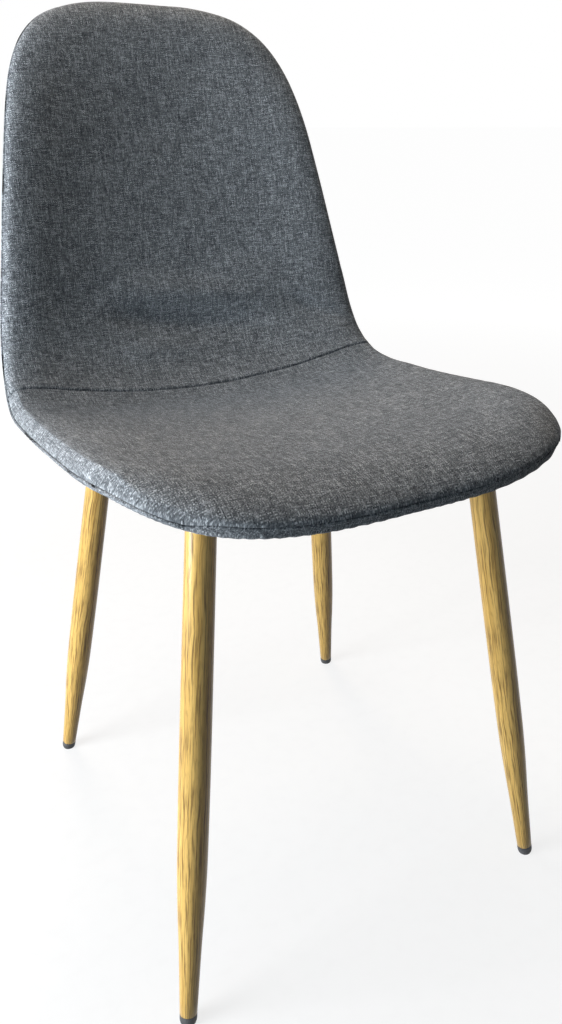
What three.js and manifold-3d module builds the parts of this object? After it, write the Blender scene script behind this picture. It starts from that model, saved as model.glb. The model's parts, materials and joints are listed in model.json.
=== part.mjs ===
// A dining chair: a one-piece upholstered shell on a steel underframe with four splayed tube legs.
// Millimetres, +Z up, the front of the seat toward -Y, the floor at z = 0.
import * as THREE from "three";
import { mergeVertices } from "three/addons/utils/BufferGeometryUtils.js";
import Module from "manifold-3d";

const wasm = await Module();
wasm.setup();

// Upholstered face, measured along its middle line from the front edge up to the top edge
const seatRun = 338; // front edge to the start of the bend
const bendRun = 193; // seat to back
const backRun = 263; // straight part of the back
const topRun = 70; // top of the back, which leans forward again
const frontRollRun = 98; // the seat's front, which falls away
const frontRollAngle = 15.6;
const seatSlope = 6.6; // the seat falls toward the back
const backAngle = 76.8;
const topAngle = 62;
const seatHeight = 461; // upholstered face above the floor, at seatHeightRun
const seatHeightRun = 220;

// Plan of the shell, laid flat
const seatWidth = 440;
const backTopWidth = 333;
const frontRoundRun = 218; // length over which the front rounds off
const frontRoundPower = 3.2;
const topRoundRun = 192;
const topRoundPower = 2.93;
const dishDepth = 32.7; // how far the side edges stand toward the sitter
const dishPower = 2.05;
// [share of the whole run, share of the way from backTopWidth to seatWidth]
const widthShares = [[0, 1.26], [0.14, 0.98], [0.28, 0.98], [0.42, 1], [0.56, 0.83], [0.72, 0.45],
  [0.88, 0.08], [1, 0]];
// [share of the whole run, share of dishDepth]
const dishShares = [[0, 0.28], [0.14, 0.6], [0.3, 0.62], [0.45, 0.83], [0.62, 0.96], [0.8, 1], [1, 0.48]];

// Layers of the shell, from the sitter's side to the outside
const fabricThickness = 1.2;
const layerGap = 0.3;
const foamThickness = 9;
const plywoodThickness = 9;
const waddingThickness = 2;
const dustClothThickness = 0.6;
const edgeRollWidth = 42; // how far in from the edge the padding starts to fall
const lowerEdgeRadius = 6;
const plywoodInset = 5; // from the outside of the fabric to the plywood's edge
const plywoodEdgeRadius = 1.5;

// Sewing
const seatPanelRun = 410; // front edge to the cross seam between seat panel and back panel
const crossSeamBow = 8; // how much higher the cross seam lies at the sides
const seamOpening = 0.6;
const hemWidth = 45; // fabric turned under the seat
const dustClothOverlap = 12;

// Underframe
const hubRun = 232; // centre of the underframe, measured as seatRun is
const armWidth = 30;
const armHeight = 12;
const armWall = 1.5;
const armCornerRadius = 2.5;
const armHubClearance = 5; // between the arms and the dust cloth, at the hub
const frontArmClearance = 4; // and at the leg ends
const rearArmClearance = 12;
const armOverhang = 14; // arm beyond the leg's axis
const hubThickness = 14;
const weldGap = 0.3;
const capThickness = 2;
const capPlugLength = 9;
const capPlugClearance = 0.3;

// Legs, placed in from the widest part of the seat
const frontLegInset = 83; // leg axis at the underframe
const frontLegRun = 104.5;
const rearLegInset = 90.5;
const rearLegRun = 391;
const frontFootInset = 31;
const rearFootInset = 38;
const frontFootSetback = 49; // behind the seat's front edge
const footSpacing = 411.5; // front feet to rear feet
const legDiameter = 26.4;
const legWall = 1.2;
const glideHeight = 9;
const glideShoulder = 5; // below it the glide rounds in to the floor
const glideSole = 1.5; // ground away flat where the glide meets the floor
const glideSoleShare = 0.5; // of the foot's radius
const glideCurveShare = 0.85;
const glideStemLength = 22;
const glideStemClearance = 0.3;
// [share of the leg's length, share of legDiameter]
const legGirthShares = [[0, 0.57], [0.15, 0.75], [0.23, 0.88], [0.33, 0.97], [0.52, 1], [0.78, 0.98],
  [1, 0.95]];

// Leg fixing: a threaded boss under the arm, and a plug with a stud in the top of the leg
const bossDiameter = 20;
const bossLength = 16;
const studDiameter = 8;
const studClearance = 0.4;
const studLength = 13;
const plugLength = 8;
const plugClearance = 0.3;
const plugGap = 0.5;

// Seat fixing: four bolts from below into T-nuts in the plywood
const mountDistance = 92; // along the arm from the hub's centre
const boltDiameter = 6;
const boltHoleClearance = 0.5;
const boltHeadDiameter = 11;
const boltHeadHeight = 3.3;
const boltSocketWidth = 4;
const boltSocketDepth = 2;
const boltEndGap = 1;
const washerDiameter = 16;
const washerThickness = 1.2;
const padDiameter = 26;
const padGap = 0.3;
const nutFlangeDiameter = 18;
const nutFlangeThickness = 1.2;
const nutBarrelDiameter = 8.6;
const nutDepth = 1.5; // top of the flange below the plywood's upper face
const nutSetback = 0.8; // end of the barrel above the plywood's lower face
const nutClearance = 0.3;
const cutOverrun = 20; // by how much a cutting body passes the faces that it cuts

// Fineness of the meshes
const outlinePoints = 60;
const turnLength = 130; // a radian of turning counts as this much length when points are spread
const spineSteps = 2;
const rollSteps = 4;
const cornerSteps = 2;
const profileSteps = 400;
const searchSteps = 40;
const legSides = 16;
const smallSides = 12;
const socketSides = 6;
const mergeDistance = 0.001; // points closer than this are one
const cutMergeDistance = 0.0001;

// Run, width and dish of the shell
const wholeRun = seatRun + bendRun + backRun + topRun;
const radians = THREE.MathUtils.degToRad;
const clamp = THREE.MathUtils.clamp;
const easeShare = (t) => THREE.MathUtils.smoothstep(t, 0, 1);

// A smooth curve through [place, value] pairs that never overshoots them
function monotoneCurve(pairs) {
  const widths = pairs.slice(1).map((pair, i) => pair[0] - pairs[i][0]);
  const slopes = pairs.slice(1).map((pair, i) => (pair[1] - pairs[i][1]) / widths[i]);
  const tangents = pairs.map((_, i) => {
    if (i === 0) return slopes[0];
    if (i === pairs.length - 1) return slopes[i - 1];
    if (slopes[i - 1] * slopes[i] <= 0) return 0;
    const before = 2 * widths[i] + widths[i - 1];
    const after = widths[i] + 2 * widths[i - 1];
    return (before + after) / (before / slopes[i - 1] + after / slopes[i]);
  });
  return (place) => {
    let i = 0;
    while (i < pairs.length - 2 && place > pairs[i + 1][0]) i += 1;
    const t = clamp((place - pairs[i][0]) / widths[i], 0, 1);
    const rise = (3 - 2 * t) * t * t;
    const lift = t * (1 - t) * widths[i] * (tangents[i] * (1 - t) - tangents[i + 1] * t);
    return pairs[i][1] * (1 - rise) + pairs[i + 1][1] * rise + lift;
  };
}

const widthCurve = monotoneCurve(widthShares);
const dishCurve = monotoneCurve(dishShares);

function slopeAt(run) {
  const front = radians(frontRollAngle);
  const seat = radians(-seatSlope);
  const back = radians(backAngle);
  const top = radians(topAngle);
  return front + (seat - front) * easeShare(run / frontRollRun)
    + (back - seat) * easeShare((run - seatRun) / bendRun)
    + (top - back) * easeShare((run - seatRun - bendRun - backRun) / topRun);
}

// Middle line of the upholstered face in the Y-Z plane, with its front end at y = 0
const middleLine = [[0, 0]];
for (let i = 1; i <= profileSteps; i += 1) {
  const step = wholeRun / profileSteps;
  const slope = slopeAt((i - 0.5) * step);
  const last = middleLine[i - 1];
  middleLine.push([last[0] + step * Math.cos(slope), last[1] + step * Math.sin(slope)]);
}

function middleAt(run) {
  const place = clamp(run / wholeRun, 0, 1) * profileSteps;
  const i = Math.min(Math.floor(place), profileSteps - 1);
  const [y0, z0] = middleLine[i];
  const [y1, z1] = middleLine[i + 1];
  return [y0 + (y1 - y0) * (place - i), z0 + (z1 - z0) * (place - i)];
}

const middleBase = seatHeight - middleAt(seatHeightRun)[1];

function squareWidth(run) {
  return backTopWidth + (seatWidth - backTopWidth) * widthCurve(run / wholeRun);
}

function halfWidth(run) {
  const front = clamp(1 - run / frontRoundRun, 0, 1);
  const top = clamp(1 - (wholeRun - run) / topRoundRun, 0, 1);
  const rounding = (1 - front ** frontRoundPower) ** (1 / frontRoundPower)
    * (1 - top ** topRoundPower) ** (1 / topRoundPower);
  return squareWidth(run) * rounding / 2;
}

// A point of the shell: x sideways, run along the middle line, depth below the upholstered face
function shellPoint(x, run, depth) {
  const [y, z] = middleAt(run);
  const slope = slopeAt(run);
  const dish = dishDepth * dishCurve(run / wholeRun) * (2 * Math.abs(x) / squareWidth(run)) ** dishPower;
  const lift = dish - depth;
  return new THREE.Vector3(x, y - Math.sin(slope) * lift, middleBase + z + Math.cos(slope) * lift);
}

// Depths of the layers
const foamTop = fabricThickness + layerGap;
const foamBase = foamTop + foamThickness;
const plywoodTop = foamBase + layerGap;
const plywoodBase = plywoodTop + plywoodThickness;
const waddingTop = plywoodBase + layerGap;
const waddingBase = waddingTop + waddingThickness;
const shellThickness = waddingBase + layerGap + fabricThickness;
const nutBarrelLength = plywoodThickness - nutDepth - nutFlangeThickness - nutSetback;
const dustClothTop = shellThickness + layerGap;
const dustClothBase = dustClothTop + dustClothThickness;

// Closed bodies made of rings of points, whose first and last rings shrink to a point or a line.
// Neighbouring layers split their faces along the same diagonals, so that they stay parallel.
function solidFromRings(rings) {
  const count = rings[0].length;
  const girths = rings.map((ring) => ring.reduce((sum, point, j) => (
    sum + point.distanceTo(ring[(j + 1) % count])
  ), 0));
  const positions = rings.flat().flatMap((point) => [point.x, point.y, point.z]);
  const loose = new THREE.BufferGeometry();
  loose.setAttribute("position", new THREE.Float32BufferAttribute(positions, 3));
  const index = [];
  for (let i = 0; i + 1 < rings.length; i += 1) {
    for (let j = 0; j < count; j += 1) {
      const a = i * count + j;
      const b = i * count + (j + 1) % count;
      if (girths[i + 1] >= girths[i]) index.push(a, b, b + count, a, b + count, a + count);
      else index.push(a, b, a + count, b, b + count, a + count);
    }
  }
  loose.setIndex(index);
  return outward(dropSlivers(mergeVertices(loose, mergeDistance)));
}

function dropSlivers(geometry) {
  const index = [...geometry.index.array];
  const kept = [];
  for (let i = 0; i < index.length; i += 3) {
    const [a, b, c] = index.slice(i, i + 3);
    if (a !== b && b !== c && c !== a) kept.push(a, b, c);
  }
  geometry.setIndex(kept);
  return geometry;
}

function outward(geometry) {
  const index = geometry.index.array;
  const corners = [0, 1, 2].map(() => new THREE.Vector3());
  let volume = 0;
  for (let i = 0; i < index.length; i += 3) {
    corners.forEach((corner, k) => corner.fromBufferAttribute(geometry.attributes.position, index[i + k]));
    volume += corners[0].dot(corners[1].clone().cross(corners[2]));
  }
  if (volume < 0) {
    const turned = [];
    for (let i = 0; i < index.length; i += 3) turned.push(index[i], index[i + 2], index[i + 1]);
    geometry.setIndex(turned);
  }
  return geometry;
}

// Joining and cutting
function toManifold(geometry) {
  const bare = geometry.clone();
  bare.deleteAttribute("normal");
  bare.deleteAttribute("uv");
  const merged = dropSlivers(mergeVertices(bare, cutMergeDistance));
  return new wasm.Manifold(new wasm.Mesh({
    numProp: 3,
    vertProperties: new Float32Array(merged.attributes.position.array),
    triVerts: new Uint32Array(merged.index.array),
  }));
}

function toGeometry(manifold) {
  const mesh = manifold.getMesh();
  const geometry = new THREE.BufferGeometry();
  geometry.setAttribute("position", new THREE.BufferAttribute(new Float32Array(mesh.vertProperties), 3));
  geometry.setIndex([...mesh.triVerts]);
  return geometry;
}

function cut(geometry, cutters) {
  const body = cutters.reduce((left, cutter) => left.subtract(toManifold(cutter)), toManifold(geometry));
  return toGeometry(body);
}

function join(first, second) {
  return toGeometry(toManifold(first).add(toManifold(second)));
}

function keepInside(geometry, mould) {
  return toGeometry(toManifold(geometry).intersect(toManifold(mould)));
}

// Outline of the shell laid flat, from the front tip over +X to the top tip, closer where it turns
const outline = (() => {
  const fine = [];
  const steps = profileSteps * 2;
  for (let i = 0; i <= steps; i += 1) {
    const run = wholeRun * (1 - Math.cos(Math.PI * i / steps)) / 2;
    fine.push([halfWidth(run), run]);
  }
  const headings = fine.slice(1).map(([x, run], i) => Math.atan2(run - fine[i][1], x - fine[i][0]));
  const lengths = [0];
  fine.slice(1).forEach(([x, run], i) => {
    const turnInPlan = Math.abs(headings[i] - headings[Math.max(i - 1, 0)]);
    const turnInSide = Math.abs(slopeAt(run) - slopeAt(fine[i][1]));
    const length = Math.hypot(x - fine[i][0], run - fine[i][1]);
    lengths.push(lengths[i] + length + turnLength * (turnInPlan + turnInSide));
  });
  const half = [];
  for (let k = 0, i = 0; k <= outlinePoints / 2; k += 1) {
    const goal = lengths[steps] * 2 * k / outlinePoints;
    while (i < steps - 1 && lengths[i + 1] < goal) i += 1;
    const t = clamp((goal - lengths[i]) / (lengths[i + 1] - lengths[i]), 0, 1);
    half.push([0, 1].map((axis) => fine[i][axis] + (fine[i + 1][axis] - fine[i][axis]) * t));
  }
  half[0][0] = 0;
  half[outlinePoints / 2][0] = 0;
  const mirrored = half.slice(1, -1).reverse().map(([x, run]) => [-x, run]);
  return [...half, ...mirrored];
})();

// One ring round the shell, at a distance in from the outline and a depth
function insetRing(inset, depth) {
  return outline.map(([x, run]) => {
    const spineRun = clamp(run, frontRoundRun, wholeRun - topRoundRun);
    const reach = Math.hypot(x, run - spineRun);
    const share = (reach - inset) / reach;
    return shellPoint(x * share, spineRun + (run - spineRun) * share, depth);
  });
}

// The middle of a layer, from the spine out to where the edge roll starts, alike for every layer
function faceRings(depth) {
  const rings = [];
  for (let i = 0; i <= spineSteps; i += 1) {
    rings.push(outline.map(([x, run]) => {
      const spineRun = clamp(run, frontRoundRun, wholeRun - topRoundRun);
      const reach = Math.hypot(x, run - spineRun);
      const share = (reach - edgeRollWidth) / reach * i / spineSteps;
      return shellPoint(x * share, spineRun + (run - spineRun) * share, depth);
    }));
  }
  return rings;
}

// The rolled upper edge, from the face to the edge seam, at a distance inside the fabric's outside
function upperEdge(inside, seamDepth) {
  const rings = [];
  for (let i = 1; i <= rollSteps; i += 1) {
    const turn = Math.PI / 2 * i / rollSteps;
    rings.push(insetRing(
      edgeRollWidth - (edgeRollWidth - inside) * Math.sin(turn),
      seamDepth - (seamDepth - inside) * Math.cos(turn),
    ));
  }
  return rings;
}

// The band below the edge seam and the turned lower edge
function lowerEdge(inside, seamDepth) {
  const rings = [insetRing(inside, seamDepth)];
  for (let i = 0; i <= cornerSteps; i += 1) {
    const turn = Math.PI / 2 * i / cornerSteps;
    rings.push(insetRing(
      lowerEdgeRadius - (lowerEdgeRadius - inside) * Math.cos(turn),
      shellThickness - lowerEdgeRadius + (lowerEdgeRadius - inside) * Math.sin(turn),
    ));
  }
  return rings;
}

function frontFabric() {
  const outside = [...faceRings(0), ...upperEdge(0, foamBase)];
  const inside = [...faceRings(fabricThickness), ...upperEdge(fabricThickness, foamBase)];
  return solidFromRings([...outside, ...inside.reverse()]);
}

function foamBody() {
  const overPlywood = insetRing(plywoodInset + plywoodEdgeRadius, foamBase);
  return solidFromRings([
    ...faceRings(foamTop), ...upperEdge(foamTop, foamBase), overPlywood, ...faceRings(foamBase).reverse(),
  ]);
}

function plywoodBody() {
  const rounded = plywoodInset + plywoodEdgeRadius;
  return solidFromRings([
    ...faceRings(plywoodTop),
    insetRing(rounded, plywoodTop),
    insetRing(plywoodInset, plywoodTop + plywoodEdgeRadius),
    insetRing(plywoodInset, plywoodBase - plywoodEdgeRadius),
    insetRing(rounded, plywoodBase),
    ...faceRings(plywoodBase).reverse(),
  ]);
}

function waddingBody() {
  const wallInset = plywoodInset - layerGap;
  return solidFromRings([
    ...faceRings(waddingTop),
    insetRing(plywoodInset + plywoodEdgeRadius, waddingTop),
    insetRing(wallInset, waddingTop),
    insetRing(wallInset, plywoodTop),
    ...lowerEdge(foamTop, plywoodTop),
    ...faceRings(waddingBase).reverse(),
  ]);
}

function rearFabric() {
  const seamDepth = foamBase + seamOpening;
  return solidFromRings([
    ...faceRings(shellThickness - fabricThickness),
    ...lowerEdge(fabricThickness, seamDepth).reverse(),
    ...lowerEdge(0, seamDepth),
    ...faceRings(shellThickness).reverse(),
  ]);
}

// A layer of the whole shell, a little inside its outline
function wholeLayer(upperDepth, lowerDepth) {
  return solidFromRings([
    ...faceRings(upperDepth), insetRing(lowerEdgeRadius, upperDepth),
    insetRing(lowerEdgeRadius, lowerDepth), ...faceRings(lowerDepth).reverse(),
  ]);
}

// A mould over part of the shell: an outline in x and run, between two depths
function mouldOver(points, upperDepth, lowerDepth) {
  const middleRun = points.reduce((sum, point) => sum + point[1], 0) / points.length;
  const ring = (share, depth) => points.map(([x, run]) => (
    shellPoint(x * share, middleRun + (run - middleRun) * share, depth)
  ));
  const rings = [];
  for (let i = 0; i <= spineSteps; i += 1) rings.push(ring(i / spineSteps, upperDepth));
  for (let i = spineSteps; i >= 0; i -= 1) rings.push(ring(i / spineSteps, lowerDepth));
  return solidFromRings(rings);
}

// Opening in the turned-under fabric below the seat, made larger by a margin
function openingOutline(margin) {
  const halfX = seatWidth / 2 - hemWidth + margin;
  const halfRun = (seatRun - hemWidth) / 2 + margin;
  const middleRun = (seatRun + hemWidth) / 2;
  const points = [];
  for (let i = 0; i < outlinePoints; i += 1) {
    const turn = 2 * Math.PI * i / outlinePoints;
    const roundX = Math.sign(Math.sin(turn)) * Math.abs(Math.sin(turn)) ** (2 / frontRoundPower);
    const roundRun = Math.sign(Math.cos(turn)) * Math.abs(Math.cos(turn)) ** (2 / frontRoundPower);
    points.push([halfX * roundX, middleRun - halfRun * roundRun]);
  }
  return points;
}

// A thin curved blade along the cross seam
function crossSeamBlade() {
  const bladeSteps = outlinePoints / 2;
  const rings = [];
  const reach = seatWidth / 2 + cutOverrun;
  for (let i = 0; i <= bladeSteps; i += 1) {
    const x = reach * (2 * i / bladeSteps - 1);
    const run = seatPanelRun + crossSeamBow * (2 * x / seatWidth) ** 2;
    const corners = [[-1, -1], [1, -1], [1, 1], [-1, 1]].map(([alongRun, through]) => shellPoint(
      x, run + alongRun * seamOpening / 2, foamBase / 2 + through * (foamBase / 2 + cutOverrun),
    ));
    rings.push(corners);
  }
  const endPoint = (corners) => {
    const middle = corners.reduce((sum, corner) => sum.add(corner), new THREE.Vector3()).divideScalar(4);
    return corners.map(() => middle);
  };
  return solidFromRings([endPoint(rings[0]), ...rings, endPoint(rings[bladeSteps])]);
}

// A solid of revolution about +Z whose profile starts and ends on the axis, or closes on itself
function turned(points, sides) {
  const lathe = new THREE.LatheGeometry(points.map(([r, z]) => new THREE.Vector2(r, z)), sides);
  lathe.rotateX(Math.PI / 2);
  lathe.deleteAttribute("normal");
  lathe.deleteAttribute("uv");
  return outward(dropSlivers(mergeVertices(lathe, mergeDistance)));
}

function rod(diameter, low, high, sides = smallSides) {
  return turned([[0, low], [diameter / 2, low], [diameter / 2, high], [0, high]], sides);
}

function washerRing(outer, inner, low, high, sides = smallSides) {
  return turned([[inner / 2, low], [outer / 2, low], [outer / 2, high], [inner / 2, high],
    [inner / 2, low]], sides);
}

function roundedRectangle(shape, width, height, radius) {
  const x = width / 2;
  const y = height / 2;
  shape.moveTo(radius - x, -y);
  shape.lineTo(x - radius, -y);
  shape.absarc(x - radius, radius - y, radius, -Math.PI / 2, 0);
  shape.lineTo(x, y - radius);
  shape.absarc(x - radius, y - radius, radius, 0, Math.PI / 2);
  shape.lineTo(radius - x, y);
  shape.absarc(radius - x, y - radius, radius, Math.PI / 2, Math.PI);
  shape.lineTo(-x, radius - y);
  shape.absarc(radius - x, radius - y, radius, Math.PI, 3 * Math.PI / 2);
  return shape;
}

// A straight bar of a shape that stands in Y-Z, laid along +X from start to end
function barAlongX(shape, start, end) {
  const bar = new THREE.ExtrudeGeometry(shape, {
    depth: end - start, bevelEnabled: false, curveSegments: cornerSteps,
  });
  bar.applyMatrix4(new THREE.Matrix4().makeBasis(
    new THREE.Vector3(0, 1, 0), new THREE.Vector3(0, 0, 1), new THREE.Vector3(1, 0, 0),
  ));
  return bar.translate(start, 0, 0);
}

// Materials
const materials = {
  fabric: new THREE.MeshStandardMaterial({ color: 0x5d6672, roughness: 0.92, metalness: 0 }),
  foam: new THREE.MeshStandardMaterial({ color: 0xe3dccb, roughness: 0.95, metalness: 0 }),
  plywood: new THREE.MeshStandardMaterial({ color: 0xc9a77a, roughness: 0.7, metalness: 0 }),
  wadding: new THREE.MeshStandardMaterial({ color: 0xeeeeea, roughness: 1, metalness: 0 }),
  dustCloth: new THREE.MeshStandardMaterial({ color: 0x1b1b1c, roughness: 0.95, metalness: 0 }),
  frameSteel: new THREE.MeshStandardMaterial({ color: 0x1c1c1d, roughness: 0.5, metalness: 0.6 }),
  woodFilm: new THREE.MeshStandardMaterial({ color: 0xc69445, roughness: 0.35, metalness: 0.1 }),
  zinc: new THREE.MeshStandardMaterial({ color: 0xb5b8bb, roughness: 0.35, metalness: 0.9 }),
  blackPlastic: new THREE.MeshStandardMaterial({ color: 0x2a2a2b, roughness: 0.6, metalness: 0 }),
  rubber: new THREE.MeshStandardMaterial({ color: 0x141414, roughness: 0.9, metalness: 0 }),
};

const chair = new THREE.Group();
const standing = new THREE.Group();
chair.add(standing);

function addPiece(name, geometry, material, placement = new THREE.Matrix4()) {
  const mesh = new THREE.Mesh(geometry, material.clone());
  mesh.name = name;
  mesh.applyMatrix4(placement);
  standing.add(mesh);
}

// Underframe geometry: the hub's centre, the four arms and the four leg axes
const seatNormal = new THREE.Vector3(0, Math.sin(radians(seatSlope)), Math.cos(radians(seatSlope)));
const armCentreDepth = dustClothBase + armHeight / 2;
const hubCentre = shellPoint(0, hubRun, armCentreDepth + armHubClearance);

// A frame with +X along a line and +Z as near as it can be to a given up
function frameAlong(from, to, up) {
  const along = to.clone().sub(from).normalize();
  const side = new THREE.Vector3().crossVectors(up, along).normalize();
  const across = new THREE.Vector3().crossVectors(along, side);
  return new THREE.Matrix4().makeBasis(along, side, across).setPosition(from);
}

// A frame with +Z along a line
function frameUp(from, to) {
  const up = to.clone().sub(from).normalize();
  const side = new THREE.Vector3().crossVectors(new THREE.Vector3(0, 1, 0), up).normalize();
  const front = new THREE.Vector3().crossVectors(up, side);
  return new THREE.Matrix4().makeBasis(side, front, up).setPosition(from);
}

const front = { legInset: frontLegInset, legRun: frontLegRun, clearance: frontArmClearance,
  footInset: frontFootInset, footY: frontFootSetback };
const rear = { legInset: rearLegInset, legRun: rearLegRun, clearance: rearArmClearance,
  footInset: rearFootInset, footY: frontFootSetback + footSpacing };
const corners = [
  { name: "front_left", side: -1, ...front },
  { name: "front_right", side: 1, ...front },
  { name: "rear_right", side: 1, ...rear },
  { name: "rear_left", side: -1, ...rear },
];

corners.forEach((corner) => {
  const legX = corner.side * (seatWidth / 2 - corner.legInset);
  corner.foot = new THREE.Vector3(corner.side * (seatWidth / 2 - corner.footInset), corner.footY, 0);
  corner.armEnd = shellPoint(legX, corner.legRun, armCentreDepth + corner.clearance);
  corner.armFrame = frameAlong(hubCentre, corner.armEnd, seatNormal);
  corner.armLength = corner.armEnd.distanceTo(hubCentre);
  corner.armUp = new THREE.Vector3().setFromMatrixColumn(corner.armFrame, 2);
  corner.legTop = corner.armEnd.clone().addScaledVector(corner.armUp, -armHeight / 2 - weldGap);
  corner.legFrame = frameUp(corner.foot, corner.legTop);
  corner.legLength = corner.legTop.distanceTo(corner.foot);
});

// Depth of a point in the shell, found from the run whose cross-section it lies in
function depthOf(point) {
  let low = 0;
  let high = wholeRun;
  for (let i = 0; i < searchSteps; i += 1) {
    const run = (low + high) / 2;
    const [y, z] = middleAt(run);
    const slope = slopeAt(run);
    const ahead = (point.y - y) * Math.cos(slope) + (point.z - middleBase - z) * Math.sin(slope);
    if (ahead > 0) low = run;
    else high = run;
  }
  const onFace = shellPoint(point.x, low, 0);
  const slope = slopeAt(low);
  return (point.y - onFace.y) * Math.sin(slope) - (point.z - onFace.z) * Math.cos(slope);
}

// Distance up the arm's own Z, from its middle plane at the mount, to a depth of the shell
function riseToDepth(corner, depth) {
  let low = 0;
  let high = armCentreDepth + armHeight;
  for (let i = 0; i < searchSteps; i += 1) {
    const rise = (low + high) / 2;
    const point = new THREE.Vector3(mountDistance, 0, rise).applyMatrix4(corner.armFrame);
    if (depthOf(point) > depth) low = rise;
    else high = rise;
  }
  return low;
}

// Frame of a seat bolt: its origin in the middle of the arm, +Z along the bolt
function mountFrame(corner) {
  return corner.armFrame.clone().multiply(new THREE.Matrix4().makeTranslation(mountDistance, 0, 0));
}

function mountHole(corner, diameter, low, high) {
  return rod(diameter, low, high).applyMatrix4(mountFrame(corner));
}

// Upholstered shell
function addShell() {
  const boltHole = boltDiameter + 2 * boltHoleClearance;
  const throughHoles = corners.map((corner) => (
    mountHole(corner, boltHole, armHeight / 2, armHeight / 2 + dustClothBase + cutOverrun)
  ));
  const nutHoles = corners.flatMap((corner) => {
    const flangeTop = riseToDepth(corner, plywoodTop + nutDepth);
    const flangeHole = nutFlangeDiameter + 2 * nutClearance;
    const barrelHole = nutBarrelDiameter + 2 * nutClearance;
    return [
      mountHole(corner, flangeHole, flangeTop - nutFlangeThickness - nutClearance, flangeTop + cutOverrun),
      mountHole(corner, barrelHole, armHeight / 2, flangeTop),
    ];
  });
  addPiece("plywood_shell", cut(plywoodBody(), nutHoles), materials.plywood);
  addPiece("foam_pad", foamBody(), materials.foam);
  addPiece("rear_wadding", cut(waddingBody(), throughHoles), materials.wadding);

  const panels = toManifold(cut(frontFabric(), [crossSeamBlade()])).decompose();
  panels.sort((a, b) => a.boundingBox().max[2] - b.boundingBox().max[2]);
  addPiece("seat_cover", toGeometry(panels[0]), materials.fabric);
  addPiece("back_cover", toGeometry(panels[1]), materials.fabric);

  const opening = mouldOver(openingOutline(0), plywoodBase, shellThickness + cutOverrun);
  addPiece("rear_cover", cut(rearFabric(), [opening]), materials.fabric);
  const dustClothMould = mouldOver(openingOutline(dustClothOverlap), plywoodBase,
    shellThickness + cutOverrun);
  const dustCloth = keepInside(wholeLayer(dustClothTop, dustClothBase), dustClothMould);
  addPiece("dust_cover", cut(dustCloth, throughHoles), materials.dustCloth);
}

// T-nut, rubber pad, washer and bolt at each mount
function addSeatFixing(corner) {
  const frame = mountFrame(corner);
  const flangeTop = riseToDepth(corner, plywoodTop + nutDepth);
  const flangeBase = flangeTop - nutFlangeThickness;
  const bore = boltDiameter / 2 + boltHoleClearance / 2;
  addPiece(`t_nut_${corner.name}`, turned([
    [bore, flangeBase - nutBarrelLength], [nutBarrelDiameter / 2, flangeBase - nutBarrelLength],
    [nutBarrelDiameter / 2, flangeBase], [nutFlangeDiameter / 2, flangeBase],
    [nutFlangeDiameter / 2, flangeTop], [bore, flangeTop], [bore, flangeBase - nutBarrelLength],
  ], smallSides), materials.zinc, frame);

  const above = wholeLayer(0, dustClothBase + padGap);
  const boltHole = boltDiameter + 2 * boltHoleClearance;
  const column = washerRing(padDiameter, boltHole, armHeight / 2 + padGap, armCentreDepth);
  column.applyMatrix4(frame);
  addPiece(`mount_pad_${corner.name}`, cut(column, [above]), materials.rubber);

  const washerTop = -armHeight / 2 - weldGap;
  const washerBase = washerTop - washerThickness;
  addPiece(`washer_${corner.name}`, washerRing(washerDiameter, boltHole, washerBase, washerTop),
    materials.zinc, frame);

  const headTop = washerBase - weldGap;
  const headBase = headTop - boltHeadHeight;
  const head = boltHeadDiameter / 2;
  const bolt = turned([
    [0, headBase], [head - boltHeadHeight / 2, headBase], [head, headBase + boltHeadHeight / 2],
    [head, headTop], [boltDiameter / 2, headTop], [boltDiameter / 2, flangeTop - boltEndGap],
    [0, flangeTop - boltEndGap],
  ], smallSides);
  const socket = rod(boltSocketWidth, headBase - cutOverrun, headBase + boltSocketDepth, socketSides);
  addPiece(`seat_bolt_${corner.name}`, cut(bolt, [socket]), materials.zinc, frame);
}

// Hub: a block with a flat face square to each arm
const hubReach = (() => {
  const headings = corners.map(({ armEnd }) => Math.atan2(armEnd.y - hubCentre.y, armEnd.x - hubCentre.x));
  const turns = headings.map((heading, i) => {
    const next = headings[(i + 1) % headings.length];
    return Math.abs(Math.atan2(Math.sin(next - heading), Math.cos(next - heading)));
  });
  return armWidth / 2 / Math.tan(Math.min(...turns) / 2) + armCornerRadius;
})();

function addHub() {
  const flat = new THREE.Matrix4().makeBasis(
    new THREE.Vector3(1, 0, 0), new THREE.Vector3().crossVectors(seatNormal, new THREE.Vector3(1, 0, 0)),
    seatNormal,
  ).setPosition(hubCentre);
  const toFlat = flat.clone().invert();
  const shape = new THREE.Shape();
  corners.forEach((corner, i) => {
    const toward = corner.armEnd.clone().applyMatrix4(toFlat);
    const heading = new THREE.Vector2(toward.x, toward.y).normalize();
    const edges = [-1, 1].map((edge) => new THREE.Vector2(
      heading.x * hubReach - edge * heading.y * armWidth / 2,
      heading.y * hubReach + edge * heading.x * armWidth / 2,
    ));
    edges.forEach((edge, k) => {
      if (i === 0 && k === 0) shape.moveTo(edge.x, edge.y);
      else shape.lineTo(edge.x, edge.y);
    });
  });
  const block = new THREE.ExtrudeGeometry(shape, { depth: hubThickness, bevelEnabled: false });
  block.translate(0, 0, armHeight / 2 - hubThickness);
  addPiece("frame_hub", block, materials.frameSteel, flat);
}

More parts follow.
